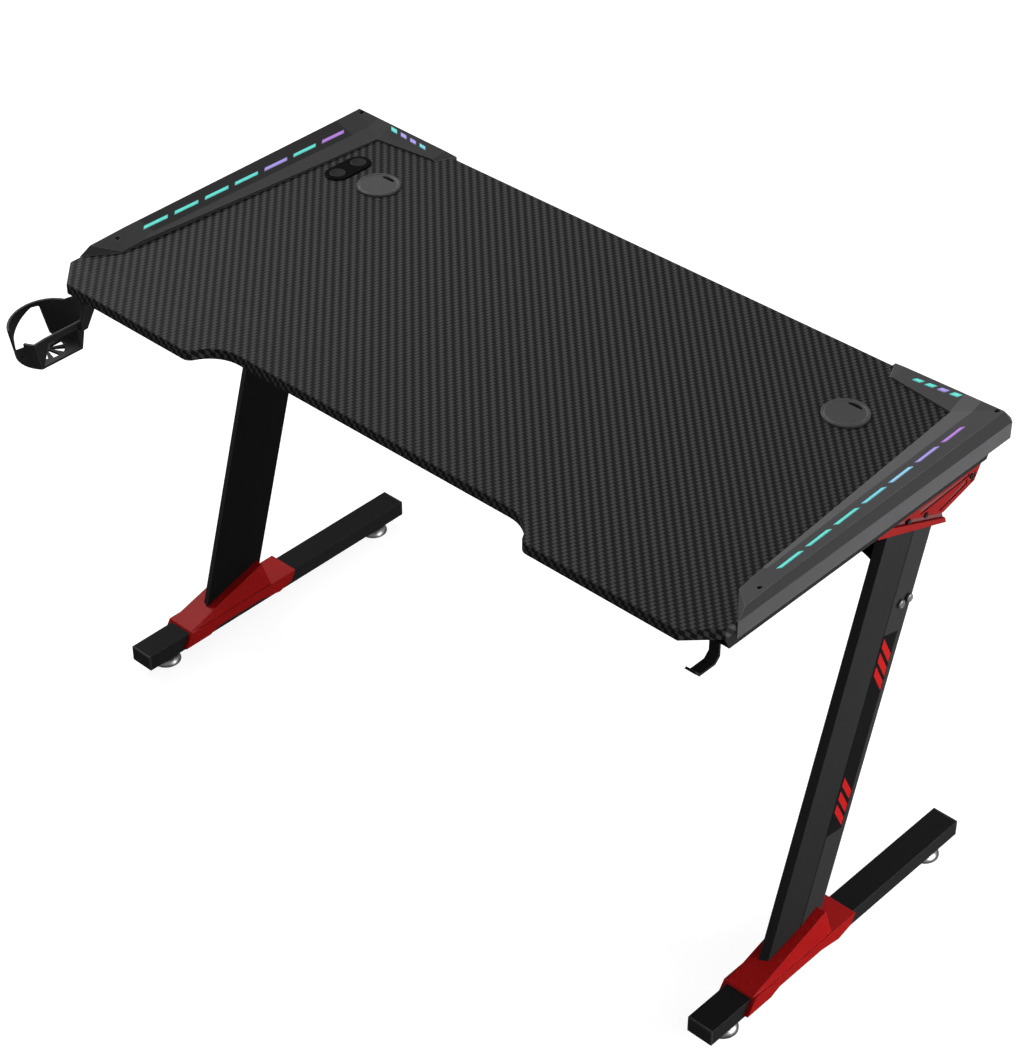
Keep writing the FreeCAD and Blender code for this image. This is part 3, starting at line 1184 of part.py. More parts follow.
def handle_gap():
    """Opening for a cup's handle, down from the rim; its lower edge rises towards the desk."""
    foot = HOLDER_BASE + HOLDER_GAP_FOOT
    top = HOLDER_RIM + OVERRUN
    left = HOLDER_X - HOLDER_GAP_LEFT
    right = HOLDER_X + HOLDER_GAP_RIGHT
    outline = [V(left, HOLDER_Y, foot), V(right - HOLDER_GAP_STEP, HOLDER_Y, foot + HOLDER_GAP_RISE),
               V(right, HOLDER_Y, top), V(left, HOLDER_Y, top)]
    return prism(outline, V(0, -2 * HOLDER_RADIUS, 0))


def floor_slots():
    """Fan of tapered slots through the cup's floor."""
    hub = V(HOLDER_X + HOLDER_HUB_X_OFFSET, HOLDER_Y + HOLDER_HUB_Y_OFFSET, HOLDER_BASE - OVERRUN)
    slots = []
    for i in range(HOLDER_SLOT_COUNT):
        fan_share = HOLDER_SLOT_FAN_SHARE * (i / (HOLDER_SLOT_COUNT - 1) - 1 / 2) + HOLDER_SLOT_TURN_SHARE
        aim = V(math.cos(math.pi * fan_share), math.sin(math.pi * fan_share), 0)
        wide = V(-aim.y, aim.x, 0) * (HOLDER_SLOT_WIDTH / 2)
        near = hub + aim * HOLDER_SLOT_INNER
        far = hub + aim * HOLDER_SLOT_OUTER
        neck = wide * HOLDER_SLOT_NECK_SHARE
        outline = [near - neck, far - wide, far + wide, near + neck]
        slots.append(prism(outline, V(0, 0, HOLDER_FLOOR + 2 * OVERRUN)))
    return slots


def holder_arm():
    """Arm that leans back from the flat side to its seat on the left rail's outer wall."""
    foot, seat = holder_arm_ends()
    low = HOLDER_BASE + HOLDER_ARM_FOOT
    outline = [V(HOLDER_FACE, foot - HOLDER_ARM_WIDTH, low), V(HOLDER_FACE, foot, low),
               V(HOLDER_FACE, seat, RAIL_BOTTOM), V(HOLDER_FACE, seat, HOLDER_SEAT_TOP),
               V(HOLDER_FACE, seat - HOLDER_SEAT_WIDTH, HOLDER_SEAT_TOP),
               V(HOLDER_FACE, seat - HOLDER_SEAT_WIDTH, RAIL_BOTTOM)]
    return prism(outline, V(HOLDER_ARM_THICKNESS, 0, 0))


def make_cup_holder():
    """Open moulded cup with a handle gap, side windows, a slotted floor and an arm up to the rail."""
    floor_top = HOLDER_BASE + HOLDER_FLOOR
    peak = HOLDER_RIM + HOLDER_SHOULDER
    cup = holder_cup(0, HOLDER_BASE, peak).cut(holder_cup(HOLDER_WALL, floor_top, peak + OVERRUN))
    for block in rim_cut(peak) + [round_window(), flat_window(), handle_gap()] + floor_slots():
        cup = cup.cut(block)
    cup = cup.fuse(holder_arm())
    for place in holder_screw_places():
        length = HOLDER_ARM_THICKNESS + 2 * OVERRUN
        cup = cup.cut(rod(place - V(OVERRUN, 0, 0), X_AXIS, SCREW_RADIUS + SCREW_PLAY, length))
    drain = V(HOLDER_X + HOLDER_DRAIN_OFFSET, HOLDER_Y, HOLDER_BASE + HOLDER_DRAIN_RISE)
    cup = cup.cut(rod(drain, V(0, -1, 0), HOLDER_DRAIN_RADIUS, HOLDER_RADIUS + OVERRUN))
    return max(cup.removeSplitter().Solids, key=lambda s: s.Volume)


# Headphone hook

def make_hook():
    """Flat strip folded down from the rail and forward into an arm with a lifted tip."""
    x0 = HOOK_X - HOOK_WIDTH / 2
    t = HOOK_THICKNESS
    top = RAIL_BOTTOM
    low = RAIL_BOTTOM - HOOK_DROP
    tip = HOOK_Y - HOOK_REACH
    outline = [V(x0, HOOK_Y + HOOK_FOOT, top), V(x0, HOOK_Y, top),
               V(x0, HOOK_Y, low + HOOK_BEND + t), V(x0, HOOK_Y - HOOK_BEND, low + t),
               V(x0, tip + HOOK_BEND, low + t), V(x0, tip, low + HOOK_RISE + t),
               V(x0, tip - t, low + HOOK_RISE + t / 2), V(x0, tip + HOOK_BEND - t / 2, low),
               V(x0, HOOK_Y - HOOK_BEND + t, low), V(x0, HOOK_Y + t, low + HOOK_BEND),
               V(x0, HOOK_Y + t, top - t), V(x0, HOOK_Y + HOOK_FOOT, top - t)]
    hook = prism(outline, V(HOOK_WIDTH, 0, 0))
    place = hook_screw_place()
    return hook.cut(rod(place - V(0, 0, t + OVERRUN), Z_AXIS, SCREW_RADIUS + SCREW_PLAY, t + 2 * OVERRUN))


def build():
    """Every piece by node name, in the modelling frame."""
    nodes = {"desktop": make_desktop(), "crossbeam": make_crossbeam(), "cup_holder": make_cup_holder(),
             "headphone_hook": make_hook(), "control_housing": make_control_housing(),
             "control_board": make_control_board()}
    trim, lenses, boards, screws = make_trim_set()
    for name, place in zip(("control_button_front", "control_button_rear"), button_places()):
        nodes[name] = make_button(place)
    paired = {"edge_trim": trim, "light_lenses": lenses, "led_strips": boards, "trim_screws": screws,
              "side_rail": make_rail(), "foot_tube": make_foot(), "foot_end_caps": make_foot_caps(),
              "glide_nuts": make_glide_nuts(), "leg_column": make_column(), "foot_cover": make_foot_cover(),
              "top_bracket": make_bracket(), "bracket_bolts": make_bracket_bolts(),
              "beam_bolts": make_beam_bolts(),
              "rail_screws": group([underside_screw(place, RAIL_WALL) for place in rail_screw_places()])}
    for end, place in zip(("front", "rear"), glide_places()):
        paired[end + "_glide"] = make_glide(place)
    for name, shape in paired.items():
        nodes["right_" + name] = shape
        nodes["left_" + name] = mirrored(shape)
    for name, side in (("left", -1), ("right", 1)):
        nodes[name + "_grommet_sleeve"], nodes[name + "_grommet_cap"] = make_grommet(side)
    nodes["holder_screws"] = group([holder_screw(place) for place in holder_screw_places()])
    nodes["hook_screw"] = underside_screw(hook_screw_place(), HOOK_THICKNESS)
    nodes["right_side_rail"] = nodes["right_side_rail"].cut(screw_hole(hook_screw_place(), Z_AXIS))
    for place in holder_screw_places():
        seat = place + V(HOLDER_ARM_THICKNESS, 0, 0)
        nodes["left_side_rail"] = nodes["left_side_rail"].cut(screw_hole(seat, X_AXIS))
    return nodes


def origin_shift(nodes):
    """Move from the modelling frame to the footprint's centre."""
    boxes = [shape.optimalBoundingBox(False, False) for shape in nodes.values()]
    x = (min(b.XMin for b in boxes) + max(b.XMax for b in boxes)) / 2
    y = (min(b.YMin for b in boxes) + max(b.YMax for b in boxes)) / 2
    return V(-x, -y, 0)


def main():
    os.makedirs("parts", exist_ok=True)
    nodes = build()
    shift = origin_shift(nodes)
    print(f"origin shift: {shift.x:.6f} {shift.y:.6f}")
    for name, shape in nodes.items():
        shape.translate(shift)
        shape.exportStep("parts/" + name + ".step")
        state = "" if shape.isValid() else " NOT VALID"
        print(f"{name}: {len(shape.Solids)} solids, {shape.Volume:.0f} mm3{state}")


main()
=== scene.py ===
"""Looks of the gaming desk: materials, leg decals, the cup holder's opening, light and camera.

Metres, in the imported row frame: +X to the user's right, +Y to the rear, +Z up, origin on the floor.
Colours are screen levels from 0 to 255.
"""
import json

import bmesh
import bpy
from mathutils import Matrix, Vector


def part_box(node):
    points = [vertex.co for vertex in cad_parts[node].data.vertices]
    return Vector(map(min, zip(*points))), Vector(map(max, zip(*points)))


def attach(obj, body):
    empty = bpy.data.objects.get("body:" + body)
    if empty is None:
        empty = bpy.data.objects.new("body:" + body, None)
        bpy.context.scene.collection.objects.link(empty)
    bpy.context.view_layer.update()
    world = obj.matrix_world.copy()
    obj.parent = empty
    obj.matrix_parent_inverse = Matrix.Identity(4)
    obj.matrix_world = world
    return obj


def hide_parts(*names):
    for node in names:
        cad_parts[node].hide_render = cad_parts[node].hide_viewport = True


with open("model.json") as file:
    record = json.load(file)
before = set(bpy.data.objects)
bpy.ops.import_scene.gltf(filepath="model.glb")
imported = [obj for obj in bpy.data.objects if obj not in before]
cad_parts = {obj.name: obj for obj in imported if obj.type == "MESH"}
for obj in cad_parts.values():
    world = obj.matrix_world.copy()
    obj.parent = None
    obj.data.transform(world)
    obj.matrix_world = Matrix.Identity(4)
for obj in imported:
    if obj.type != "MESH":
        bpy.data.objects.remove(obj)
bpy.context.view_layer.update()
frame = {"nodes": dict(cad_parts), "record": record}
NODES = frame["nodes"]
SIDES = ("left", "right")

# Camera, as fitted to the photograph: its place from the board's middle, and its height over the floor
CAMERA_OFFSET = (1.99067, -2.13133)
CAMERA_HEIGHT = 2.64851
CAMERA_AIM = (-0.54332, 0.58246, -0.60460)
CAMERA_REACH = 60.0
FOCAL_PIXELS = 2708.5
PHOTO_HEIGHT_PIXELS = 1052
SENSOR_MM = 36.0

# Studio: the floor, and the sky's strength above and below a fading band round the horizon
FLOOR_HEIGHT = -0.0005
FLOOR_HALF_WIDTH = 40.0
FLOOR_GLOW = 0.84
FLOOR_COLOURS = ((150, 150, 150), (154, 154, 154))
SKY_ABOVE = 0.6
SKY_BELOW = 0.15
SKY_FADE = 0.15
WHITE = (1.0, 1.0, 1.0, 1.0)
# Lamps, as (place, aim, size, power)
LAMPS = {
    "key": ((1.5, 0.45, 0.4), (0.55, 0.05, 0.5), (0.9, 0.5), 18.0),
    "side": ((4.26, 1.62, 1.85), (0.3, 0.0, 0.5), (3.0, 1.6), 70.0),
    "top": ((-5.0, 0.9, 4.6), (0.0, 0.0, 0.6), (3.0, 2.0), 340.0),
}

# Least parts of a face's normal for it to count as looking that way
SIDEWAYS = 0.9
REARWARD = 0.01
UPWARD = 0.85
SHADED_BAND_OUTWARD = 0.6
FOOT_SHADE_UPWARD = (0.6, 0.8)

# Range that most values of a noise texture lie in
NOISE_RANGE = (0.3, 0.7)
# Noise scales, in cells to a metre
FILM_SHEEN = 60.0
PLASTIC_CLOUDS = 9.0
PLASTIC_GLINTS = 900.0
HIGHLIGHT_PATCHES = 45.0
COAT_CLOUDS = 7.0
BRACKET_CLOUDS = 11.0
COAT_SPECKLE = 1900.0
ORANGE_PEEL = 700.0
POLISH_SWIRLS = 240.0
BOARD_TRACES = 420.0
LENS_MILK = 160.0
FLOOR_CLOUDS = 3.0

# Carbon-weave film: its tows, the twill's floats in tows, and how far a float's ends fade
TOW_WIDTH = 0.00495
FLOAT_PERIOD = 3.0
FLOAT_LENGTH = 1.5
FLOAT_FADE = (-0.08, 0.14)
FIBRE_PITCH = 0.0005
FIBRE_STRETCH = (1.0, 0.2, 0.2)
FIBRE_SHOW = (0.35, 0.7, 0.0, 0.3)
FIBRE_LEVEL = 40
WEFT_COLOURS = ((10, 10, 10), (26, 26, 26))
WARP_COLOURS = ((28, 28, 28), (60, 60, 60))
WARP_SHOULDER = 0.55
WEFT_RELIEF = 0.3
FILM_ROUGHNESS = (0.46, 0.56)

# Painted edge highlights: their width, and the cosines of the turn of the normal where they start and are
# full
EDGE_HIGHLIGHT_WIDTH = 0.0011
EDGE_COSINES = (0.995, 0.93)
BEVEL_SAMPLES = 4

# Grained plastic: noise ranges of its glints and of the patches of its painted edge highlights, with the
# shares that they give, the swing of its roughness, the shares of its coarse and fine relief, and the
# grain's size to its depth
GLINT_SHOW = (0.56, 0.7, 0.0, 0.6)
HIGHLIGHT_PATCH_SHOW = (0.3, 0.6, 0.55, 1.0)
GRAIN_SWING = 0.06
GRAIN_SHARES = (0.7, 0.3)
GRAIN_TO_DEPTH = 10
GRAIN_STRENGTH = 0.45

# Powder coat: its gloss, its speckle, its painted edge highlights and its orange peel
COAT_SPECULAR = 0.03
COAT_ROUGHNESS = (0.45, 0.57)
SPECKLE_SHOW = (0.62, 0.72)
SPECKLE_SHARE = 0.3
SPECKLE_LIFT = 20
COAT_EDGE_HIGHLIGHT_SHARE = 0.8
COAT_EDGE_HIGHLIGHT_LIFT = 28
PEEL_DEPTH = 0.00018
PEEL_STRENGTH = 0.35

# Trim: the light strip's front inset, its widths at front and rear, and where the rear return starts
STRIP_INSET = 0.012
STRIP_WIDTHS = (0.0325, 0.0415)
RETURN_START = 0.068
# Grey levels of its painted shade and painted highlights
LEFT_TRIM_SHADE = 54
LEFT_STRIP_SHADE = 44
LEFT_BEVEL_HIGHLIGHT = 60
RIGHT_BEVEL_HIGHLIGHT = 86
OUTER_BAND_SHADE = 43

# Top bracket: depth of the recess floors inside its proud lip, their primer, and the red of the rest
RECESS_DEPTH = 0.0033
BRACKET_PRIMER = (92, 52, 54)
BRACKET_REDS = ((108, 9, 8), (120, 12, 11))
BRACKET_ROUGHNESS = (0.40, 0.52)

# Plated steel: stretch of its turning marks, the shade in them, and the swing of its roughness
TURNING_STRETCH = (1.0, 1.0, 6.0)
TURNING_SHADE = 0.82
TURNING_SWING = (0.7, 1.3)

# Light control: ranges that show its swirl marks and its board's traces
SWIRL_SHOW = (0.4, 0.7)
SWIRL_ROUGHNESS = (0.12, 0.24)
TRACE_SHOW = (0.25, 0.35)
TRACE_COLOURS = ((20, 92, 52), (12, 58, 34))

# Lights, from front to rear on the side and from left to right on the return
TEAL = (92, 218, 204)
CYAN = (112, 205, 220)
SKY_BLUE = (140, 200, 230)
LILAC = (164, 146, 222)
PURPLE = (176, 122, 216)
LIGHTS = {
    "left": ((TEAL, TEAL, TEAL, TEAL, LILAC, TEAL, PURPLE), (TEAL, LILAC, LILAC, CYAN)),
    "right": ((TEAL, TEAL, TEAL, CYAN, SKY_BLUE, LILAC, PURPLE), (TEAL, TEAL, LILAC, TEAL)),
}
LIGHT_STRENGTH = 0.95
LENS_RIM = 0.0009
LENS_BODY = (6, 12, 20)
LENS_BODY_SHARE = 0.85
LENS_RIM_COLOUR = (24, 58, 96)
MILK_STRENGTH = (0.9, 1.05)

# Columns: depth of the outer side's crease behind the front edge, and the half widths of the painted shade
# line along it where it is full and where it ends
CREASE_DEPTH = 0.0628
CREASE_SHADE_LINE = (0.0008, 0.0018)
# Grey levels of the painted shade and painted light on columns and feet
CREASE_SHADE_LEVEL = 14
REAR_FACET_LIGHT_LEVEL = 38
INNER_FACE_SHADE_LEVEL = 15
FOOT_TOP_SHADE_LEVEL = 17
# Marks on their rear facets, as (depth behind the outer side's front corner, height), where that corner
# lies behind the front edge by the slant
COLUMN_SLANT = 0.005
STICKER = ((0.0582, 0.4980), (0.0945, 0.4866), (0.0950, 0.2040), (0.0582, 0.2119))
BAR_SPAN = (0.0612, 0.0925)
BAR_DROP = 0.0370
BAR_HEIGHT = 0.0125
BAR_TOPS = (0.4931, 0.4735, 0.4543, 0.2977, 0.2778, 0.2588)
FILM_THICKNESS = 0.00012
BAR_LIFT = 3 * FILM_THICKNESS

# Cup holder: its axis from the arm's inner face and from the board's front, and the opening through its
# left base, as an outline of (y from the axis, height over the base) and a range of x from the axis
HOLDER_AXIS_INSET = 0.037
HOLDER_FRONT_INSET = 0.0094
BASE_OPENING = ((0.0300, -0.001), (0.0283, 0.014), (-0.0330, 0.014), (-0.0349, 0.0095), (-0.0349, -0.001))
BASE_OPENING_REACH = (-0.110, -0.012)

# Distances within which vertices are one, and within which they lie on a column's end
SAME_PLACE = 1e-6
AT_END = 1e-4


def grey(level):
    """Grey with a trace of blue."""
    return level, level, level + 1


def paler(colour, lift):
    """Colour with each of its levels raised."""
    return [level + lift for level in colour]


def linear(colour):
    """Linear colour with alpha from sRGB screen levels."""
    shares = [level / 255 for level in colour]
    return [s / 12.92 if s <= 0.04045 else ((s + 0.055) / 1.055) ** 2.4 for s in shares] + [1.0]


class Shader:
    """Builds one procedural material in metres of the row frame."""

    def __init__(self, name, **surface):
        self.material = bpy.data.materials.new(name)
        self.material.use_nodes = True
        self.tree = self.material.node_tree
        self.surface = self.tree.nodes["Principled BSDF"]
        self.place = self.add("TexCoord").outputs["Object"]
        for socket, value in surface.items():
            self.surface.inputs[socket.replace("_", " ")].default_value = value

    def add(self, kind, **settings):
        """New node of a kind."""
        node = self.tree.nodes.new("ShaderNode" + kind)
        for key, value in settings.items():
            setattr(node, key, value)
        return node

    def feed(self, socket, value):
        """Links an output to a socket, or sets the socket to a constant."""
        if isinstance(value, bpy.types.NodeSocket):
            self.tree.links.new(value, socket)
        else:
            socket.default_value = value

    def math(self, operation, *values):
        """Result of a Math node."""
        node = self.add("Math", operation=operation)
        for socket, value in zip(node.inputs, values):
            self.feed(socket, value)
        return node.outputs[0]

    def minus(self, value, other):
        """Difference of two values."""
        return self.math("SUBTRACT", value, other)

    def over(self, value, limit):
        """1 where a value is over a limit, else 0."""
        return self.math("GREATER_THAN", value, limit)

    def under(self, value, limit):
        """1 where a value is under a limit, else 0."""
        return self.math("LESS_THAN", value, limit)

    def times(self, first, *others):
        """Product, which for masks is 1 where all of them are."""
        for other in others:
            first = self.math("MULTIPLY", first, other)
        return first

    def axes(self):
        """The place's x, y and z."""
        node = self.add("SeparateXYZ")
        self.feed(node.inputs[0], self.place)
        return node.outputs

    def facing(self):
        """The face's own normal as x, y and z."""
        node = self.add("SeparateXYZ")
        self.feed(node.inputs[0], self.add("NewGeometry").outputs["Normal"])
        return node.outputs

    def stretched(self, x, y, z):
        """The place multiplied along each axis."""
        node = self.add("VectorMath", operation="MULTIPLY")
        self.feed(node.inputs[0], self.place)
        node.inputs[1].default_value = (x, y, z)
        return node.outputs[0]

    def noise(self, scale, detail=3.0, roughness=0.55, vector=None):
        """Smooth noise with a number of cells to a metre."""
        node = self.add("TexNoise")
        self.feed(node.inputs["Vector"], vector or self.place)
        node.inputs["Scale"].default_value = scale
        node.inputs["Detail"].default_value = detail
        node.inputs["Roughness"].default_value = roughness
        return node.outputs["Fac"]

    def cells(self, scale):
        """Distance from the centres of random cells."""
        node = self.add("TexVoronoi")
        self.feed(node.inputs["Vector"], self.place)
        node.inputs["Scale"].default_value = scale
        return node.outputs["Distance"]

    def span(self, value, low, high, to_low=0.0, to_high=1.0):
        """Value brought from one range to another, held at its ends."""
        node = self.add("MapRange")
        for socket, number in zip(node.inputs, (value, low, high, to_low, to_high)):
            self.feed(socket, number)
        return node.outputs[0]

    def spread(self, noise, to_low=0.0, to_high=1.0):
        """Noise spread over the whole of a range."""
        return self.span(noise, *NOISE_RANGE, to_low, to_high)

    def mix(self, share, low, high):
        """Colour between two colours, each an output or screen levels."""
        node = self.add("Mix", data_type="RGBA")
        self.feed(node.inputs["Factor"], share)
        for socket, colour in zip([s for s in node.inputs if s.type == "RGBA"], (low, high)):
            self.feed(socket, colour if isinstance(colour, bpy.types.NodeSocket) else linear(colour))
        return [s for s in node.outputs if s.type == "RGBA"][0]

    def steps(self, value, colours):
        """One flat colour for each equal share of 0 to 1."""
        node = self.add("ValToRGB")
        ramp = node.color_ramp
        ramp.interpolation = "CONSTANT"
        for i, colour in enumerate(colours):
            place = i / len(colours)
            stop = ramp.elements[i] if i < len(ramp.elements) else ramp.elements.new(place)
            stop.position = place
            stop.color = linear(colour)
        self.feed(node.inputs[0], value)
        return node.outputs[0]

    def eased(self, radius):
        """Normal that turns smoothly over edges within a radius."""
        node = self.add("Bevel", samples=BEVEL_SAMPLES)
        node.inputs["Radius"].default_value = radius
        return node.outputs[0]

    def edges(self, radius):
        """1 on edges, fading to 0 at a radius from them."""
        node = self.add("VectorMath", operation="DOT_PRODUCT")
        self.feed(node.inputs[0], self.eased(radius))
        self.feed(node.inputs[1], self.add("NewGeometry").outputs["Normal"])
        return self.span(node.outputs["Value"], *EDGE_COSINES)

    def colour(self, value):
        """Sets the surface's colour."""
        self.feed(self.surface.inputs["Base Color"], value)

    def roughness(self, value):
        """Sets the surface's roughness."""
        self.feed(self.surface.inputs["Roughness"], value)

    def bump(self, height, depth, strength, soft_edge=0.0):
        """Relief of a depth, over edges that are eased by a radius."""
        node = self.add("Bump")
        node.inputs["Strength"].default_value = strength
        node.inputs["Distance"].default_value = depth
        self.feed(node.inputs["Height"], height)
        if soft_edge:
            self.feed(node.inputs["Normal"], self.eased(soft_edge))
        self.feed(self.surface.inputs["Normal"], node.outputs[0])


def middle_x():
    """The desk's middle plane, from the beam that spans it."""
    low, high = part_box("crossbeam")
    return (low.x + high.x) / 2


def loose_boxes(obj):
    """Lowest and highest corners of a mesh's separate islands."""
    mesh = bmesh.new()
    mesh.from_mesh(obj.data)
    bmesh.ops.remove_doubles(mesh, verts=mesh.verts, dist=SAME_PLACE)
    left = set(mesh.verts)
    boxes = []
    while left:
        stack = [left.pop()]
        low = stack[0].co.copy()
        high = stack[0].co.copy()
        while stack:
            vert = stack.pop()
            low = Vector(map(min, low, vert.co))
            high = Vector(map(max, high, vert.co))
            for edge in vert.link_edges:
                other = edge.other_vert(vert)
                if other in left:
                    left.remove(other)
                    stack.append(other)
        boxes.append((low, high))
    mesh.free()
    return boxes


def light_spans(side):
    """Ranges of y for the side lights and of x for the return lights, half a gap past each end."""
    islands = loose_boxes(NODES[side + "_light_lenses"])
    along = [b for b in islands if b[1].y - b[0].y > b[1].x - b[0].x]
    across = [b for b in islands if b not in along]
    y = sorted((b[0].y + b[1].y) / 2 for b in along)
    x = sorted((b[0].x + b[1].x) / 2 for b in across)
    pitch_y = (y[-1] - y[0]) / (len(y) - 1)
    pitch_x = (x[-1] - x[0]) / (len(x) - 1)
    return (y[0] - pitch_y / 2, y[-1] + pitch_y / 2), (x[0] - pitch_x / 2, x[-1] + pitch_x / 2)


def column_front(side):
    """The column's front edge: its y at the foot, its lean (y to z) and the foot's height."""
    vertices = NODES[side + "_leg_column"].data.vertices
    low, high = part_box(side + "_leg_column")
    foot = min(v.co.y for v in vertices if v.co.z < low.z + AT_END)
    head = min(v.co.y for v in vertices if v.co.z > high.z - AT_END)
    return foot, (head - foot) / (high.z - low.z), low.z


def rear_facet(side):
    """Largest face of the column's creased outer side that looks outwards and to the rear."""
    outward = 1 if side == "right" else -1
    mesh = NODES[side + "_leg_column"].data
    faces = [f for f in mesh.polygons if f.normal.x * outward > SIDEWAYS and f.normal.y > REARWARD]
    return max(faces, key=lambda f: f.area)


def arch(s, share):
    """Arch over 0 to 1: 0 at both ends and 1 in the middle."""
    return s.times(share, s.minus(1.0, share), 4.0)


def carbon_film():
    """Printed twill: pale floats one and a half tows long, each column one tow on, under a satin film."""
    s = Shader("carbon_film", Specular_IOR_Level=0.04)
    x, y, z = s.axes()
    u = s.math("DIVIDE", x, TOW_WIDTH)
    v = s.math("DIVIDE", s.math("ADD", y, z), TOW_WIDTH)
    run = s.math("FLOORED_MODULO", s.math("ADD", s.math("FLOOR", u), v), FLOAT_PERIOD)
    half = FLOAT_LENGTH / 2
    from_end = s.minus(half, s.math("ABSOLUTE", s.minus(run, half)))
    float_share = s.span(from_end, *FLOAT_FADE)
    crown_u = arch(s, s.math("FRACT", u))
    crown_v = arch(s, s.math("FRACT", v))
    fibres = s.noise(1 / FIBRE_PITCH, detail=2.0, vector=s.stretched(*FIBRE_STRETCH))
    weft = s.mix(crown_v, *WEFT_COLOURS)
    warp = s.mix(s.span(crown_u, 0.0, WARP_SHOULDER), *WARP_COLOURS)
    warp = s.mix(s.span(fibres, *FIBRE_SHOW), warp, grey(FIBRE_LEVEL))
    s.colour(s.mix(float_share, weft, warp))
    s.roughness(s.spread(s.noise(FILM_SHEEN), *FILM_ROUGHNESS))
    relief = s.math("ADD", s.times(float_share, crown_u), s.times(crown_v, WEFT_RELIEF))
    s.bump(relief, depth=0.00012, strength=0.5, soft_edge=0.0008)
    return s.material


def grained_plastic(name, level, dark, grain, roughness, specular,
                    soft_edge=0.0008, edge_highlight_lift=0, glint=0, painted_shading=None):
    """Moulded plastic: a spark-eroded grain, slight clouds and, where asked, painted edge highlights or
    glints.
    """
    s = Shader(name, Specular_IOR_Level=specular)
    base = s.mix(s.spread(s.noise(PLASTIC_CLOUDS)), dark, level)
    if painted_shading:
        base = painted_shading(s, base)
    if glint:
        grains = s.span(s.noise(PLASTIC_GLINTS, detail=1.0), *GLINT_SHOW)
        base = s.mix(grains, base, paler(level, glint))
    # Painted edge highlights: paler colour along edges, broken up by noise patches
    if edge_highlight_lift:
        highlight_patches = s.span(s.noise(HIGHLIGHT_PATCHES), *HIGHLIGHT_PATCH_SHOW)
        base = s.mix(s.times(s.edges(EDGE_HIGHLIGHT_WIDTH), highlight_patches), base, paler(level, edge_highlight_lift))
    s.colour(base)
    texture = s.cells(1 / grain)
    fine = s.noise(2 / grain, detail=2.0)
    s.roughness(s.spread(fine, roughness - GRAIN_SWING, roughness + GRAIN_SWING))
    coarse_share, fine_share = GRAIN_SHARES
    relief = s.math("ADD", s.times(texture, coarse_share), s.times(fine, fine_share))
    s.bump(relief, grain / GRAIN_TO_DEPTH, GRAIN_STRENGTH, soft_edge)
    return s.material


def trim_painted_shading(s, base):
    """Painted shade on the left trim, its light strip and the outer bands, and painted highlights on the
    inner bevels.
    """
    x, y, z = s.axes()
    normal = s.facing()
    from_middle = s.minus(x, middle_x())
    on_right = s.over(from_middle, 0.0)
    outward = s.times(normal["X"], s.math("SIGN", from_middle))
    above = s.over(z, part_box("desktop")[1].z)
    level = s.times(above, s.over(normal["Z"], UPWARD))
    (y0, y1), _ = light_spans("left")
    shaded_strip = s.times(s.over(y, y0 + STRIP_INSET), s.under(y, y1), level)
    width = s.minus(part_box("right_edge_trim")[1].x - middle_x(), s.math("ABSOLUTE", from_middle))
    past_strip = s.minus(width, s.span(y, y0, y1, *STRIP_WIDTHS))
    lit_bevel = s.times(s.over(past_strip, 0.0), s.over(y, y0), level, s.under(width, RETURN_START))
    shaded_band = s.times(s.over(outward, SHADED_BAND_OUTWARD), above)
    # Painted shade on the left trim, deeper on its light strip, painted highlights on the bevels, painted
    # shade on the bands
    base = s.mix(on_right, s.mix(shaded_strip, grey(LEFT_TRIM_SHADE), grey(LEFT_STRIP_SHADE)), base)
    base = s.mix(lit_bevel, base, s.mix(on_right, grey(LEFT_BEVEL_HIGHLIGHT), grey(RIGHT_BEVEL_HIGHLIGHT)))
    return s.mix(shaded_band, base, grey(OUTER_BAND_SHADE))


def powder_coat(name, level, dark, painted_shading=None):
    """Sprayed and baked paint: a fine orange peel and speckle over the steel, and painted edge highlights.
    """
    s = Shader(name, Specular_IOR_Level=COAT_SPECULAR)
    peel = s.noise(ORANGE_PEEL, detail=2.0)
    speckle = s.span(s.noise(COAT_SPECKLE, detail=1.0), *SPECKLE_SHOW)
    base = s.mix(s.spread(s.noise(COAT_CLOUDS)), dark, level)
    base = s.mix(s.times(speckle, SPECKLE_SHARE), base, paler(level, SPECKLE_LIFT))
    if painted_shading:
        base = painted_shading(s, base)
    # Painted edge highlights: the coat paler along its edges
    edge_highlight_share = s.times(s.edges(EDGE_HIGHLIGHT_WIDTH), COAT_EDGE_HIGHLIGHT_SHARE)
    s.colour(s.mix(edge_highlight_share, base, paler(level, COAT_EDGE_HIGHLIGHT_LIFT)))
    s.roughness(s.spread(peel, *COAT_ROUGHNESS))
    s.bump(peel, PEEL_DEPTH, PEEL_STRENGTH, soft_edge=0.0012)
    return s.material


def foot_painted_shade(s, base):
    """Feet with painted shade on their tops, which are darker than their sides."""
    return s.mix(s.span(s.facing()["Z"], *FOOT_SHADE_UPWARD), base, grey(FOOT_TOP_SHADE_LEVEL))


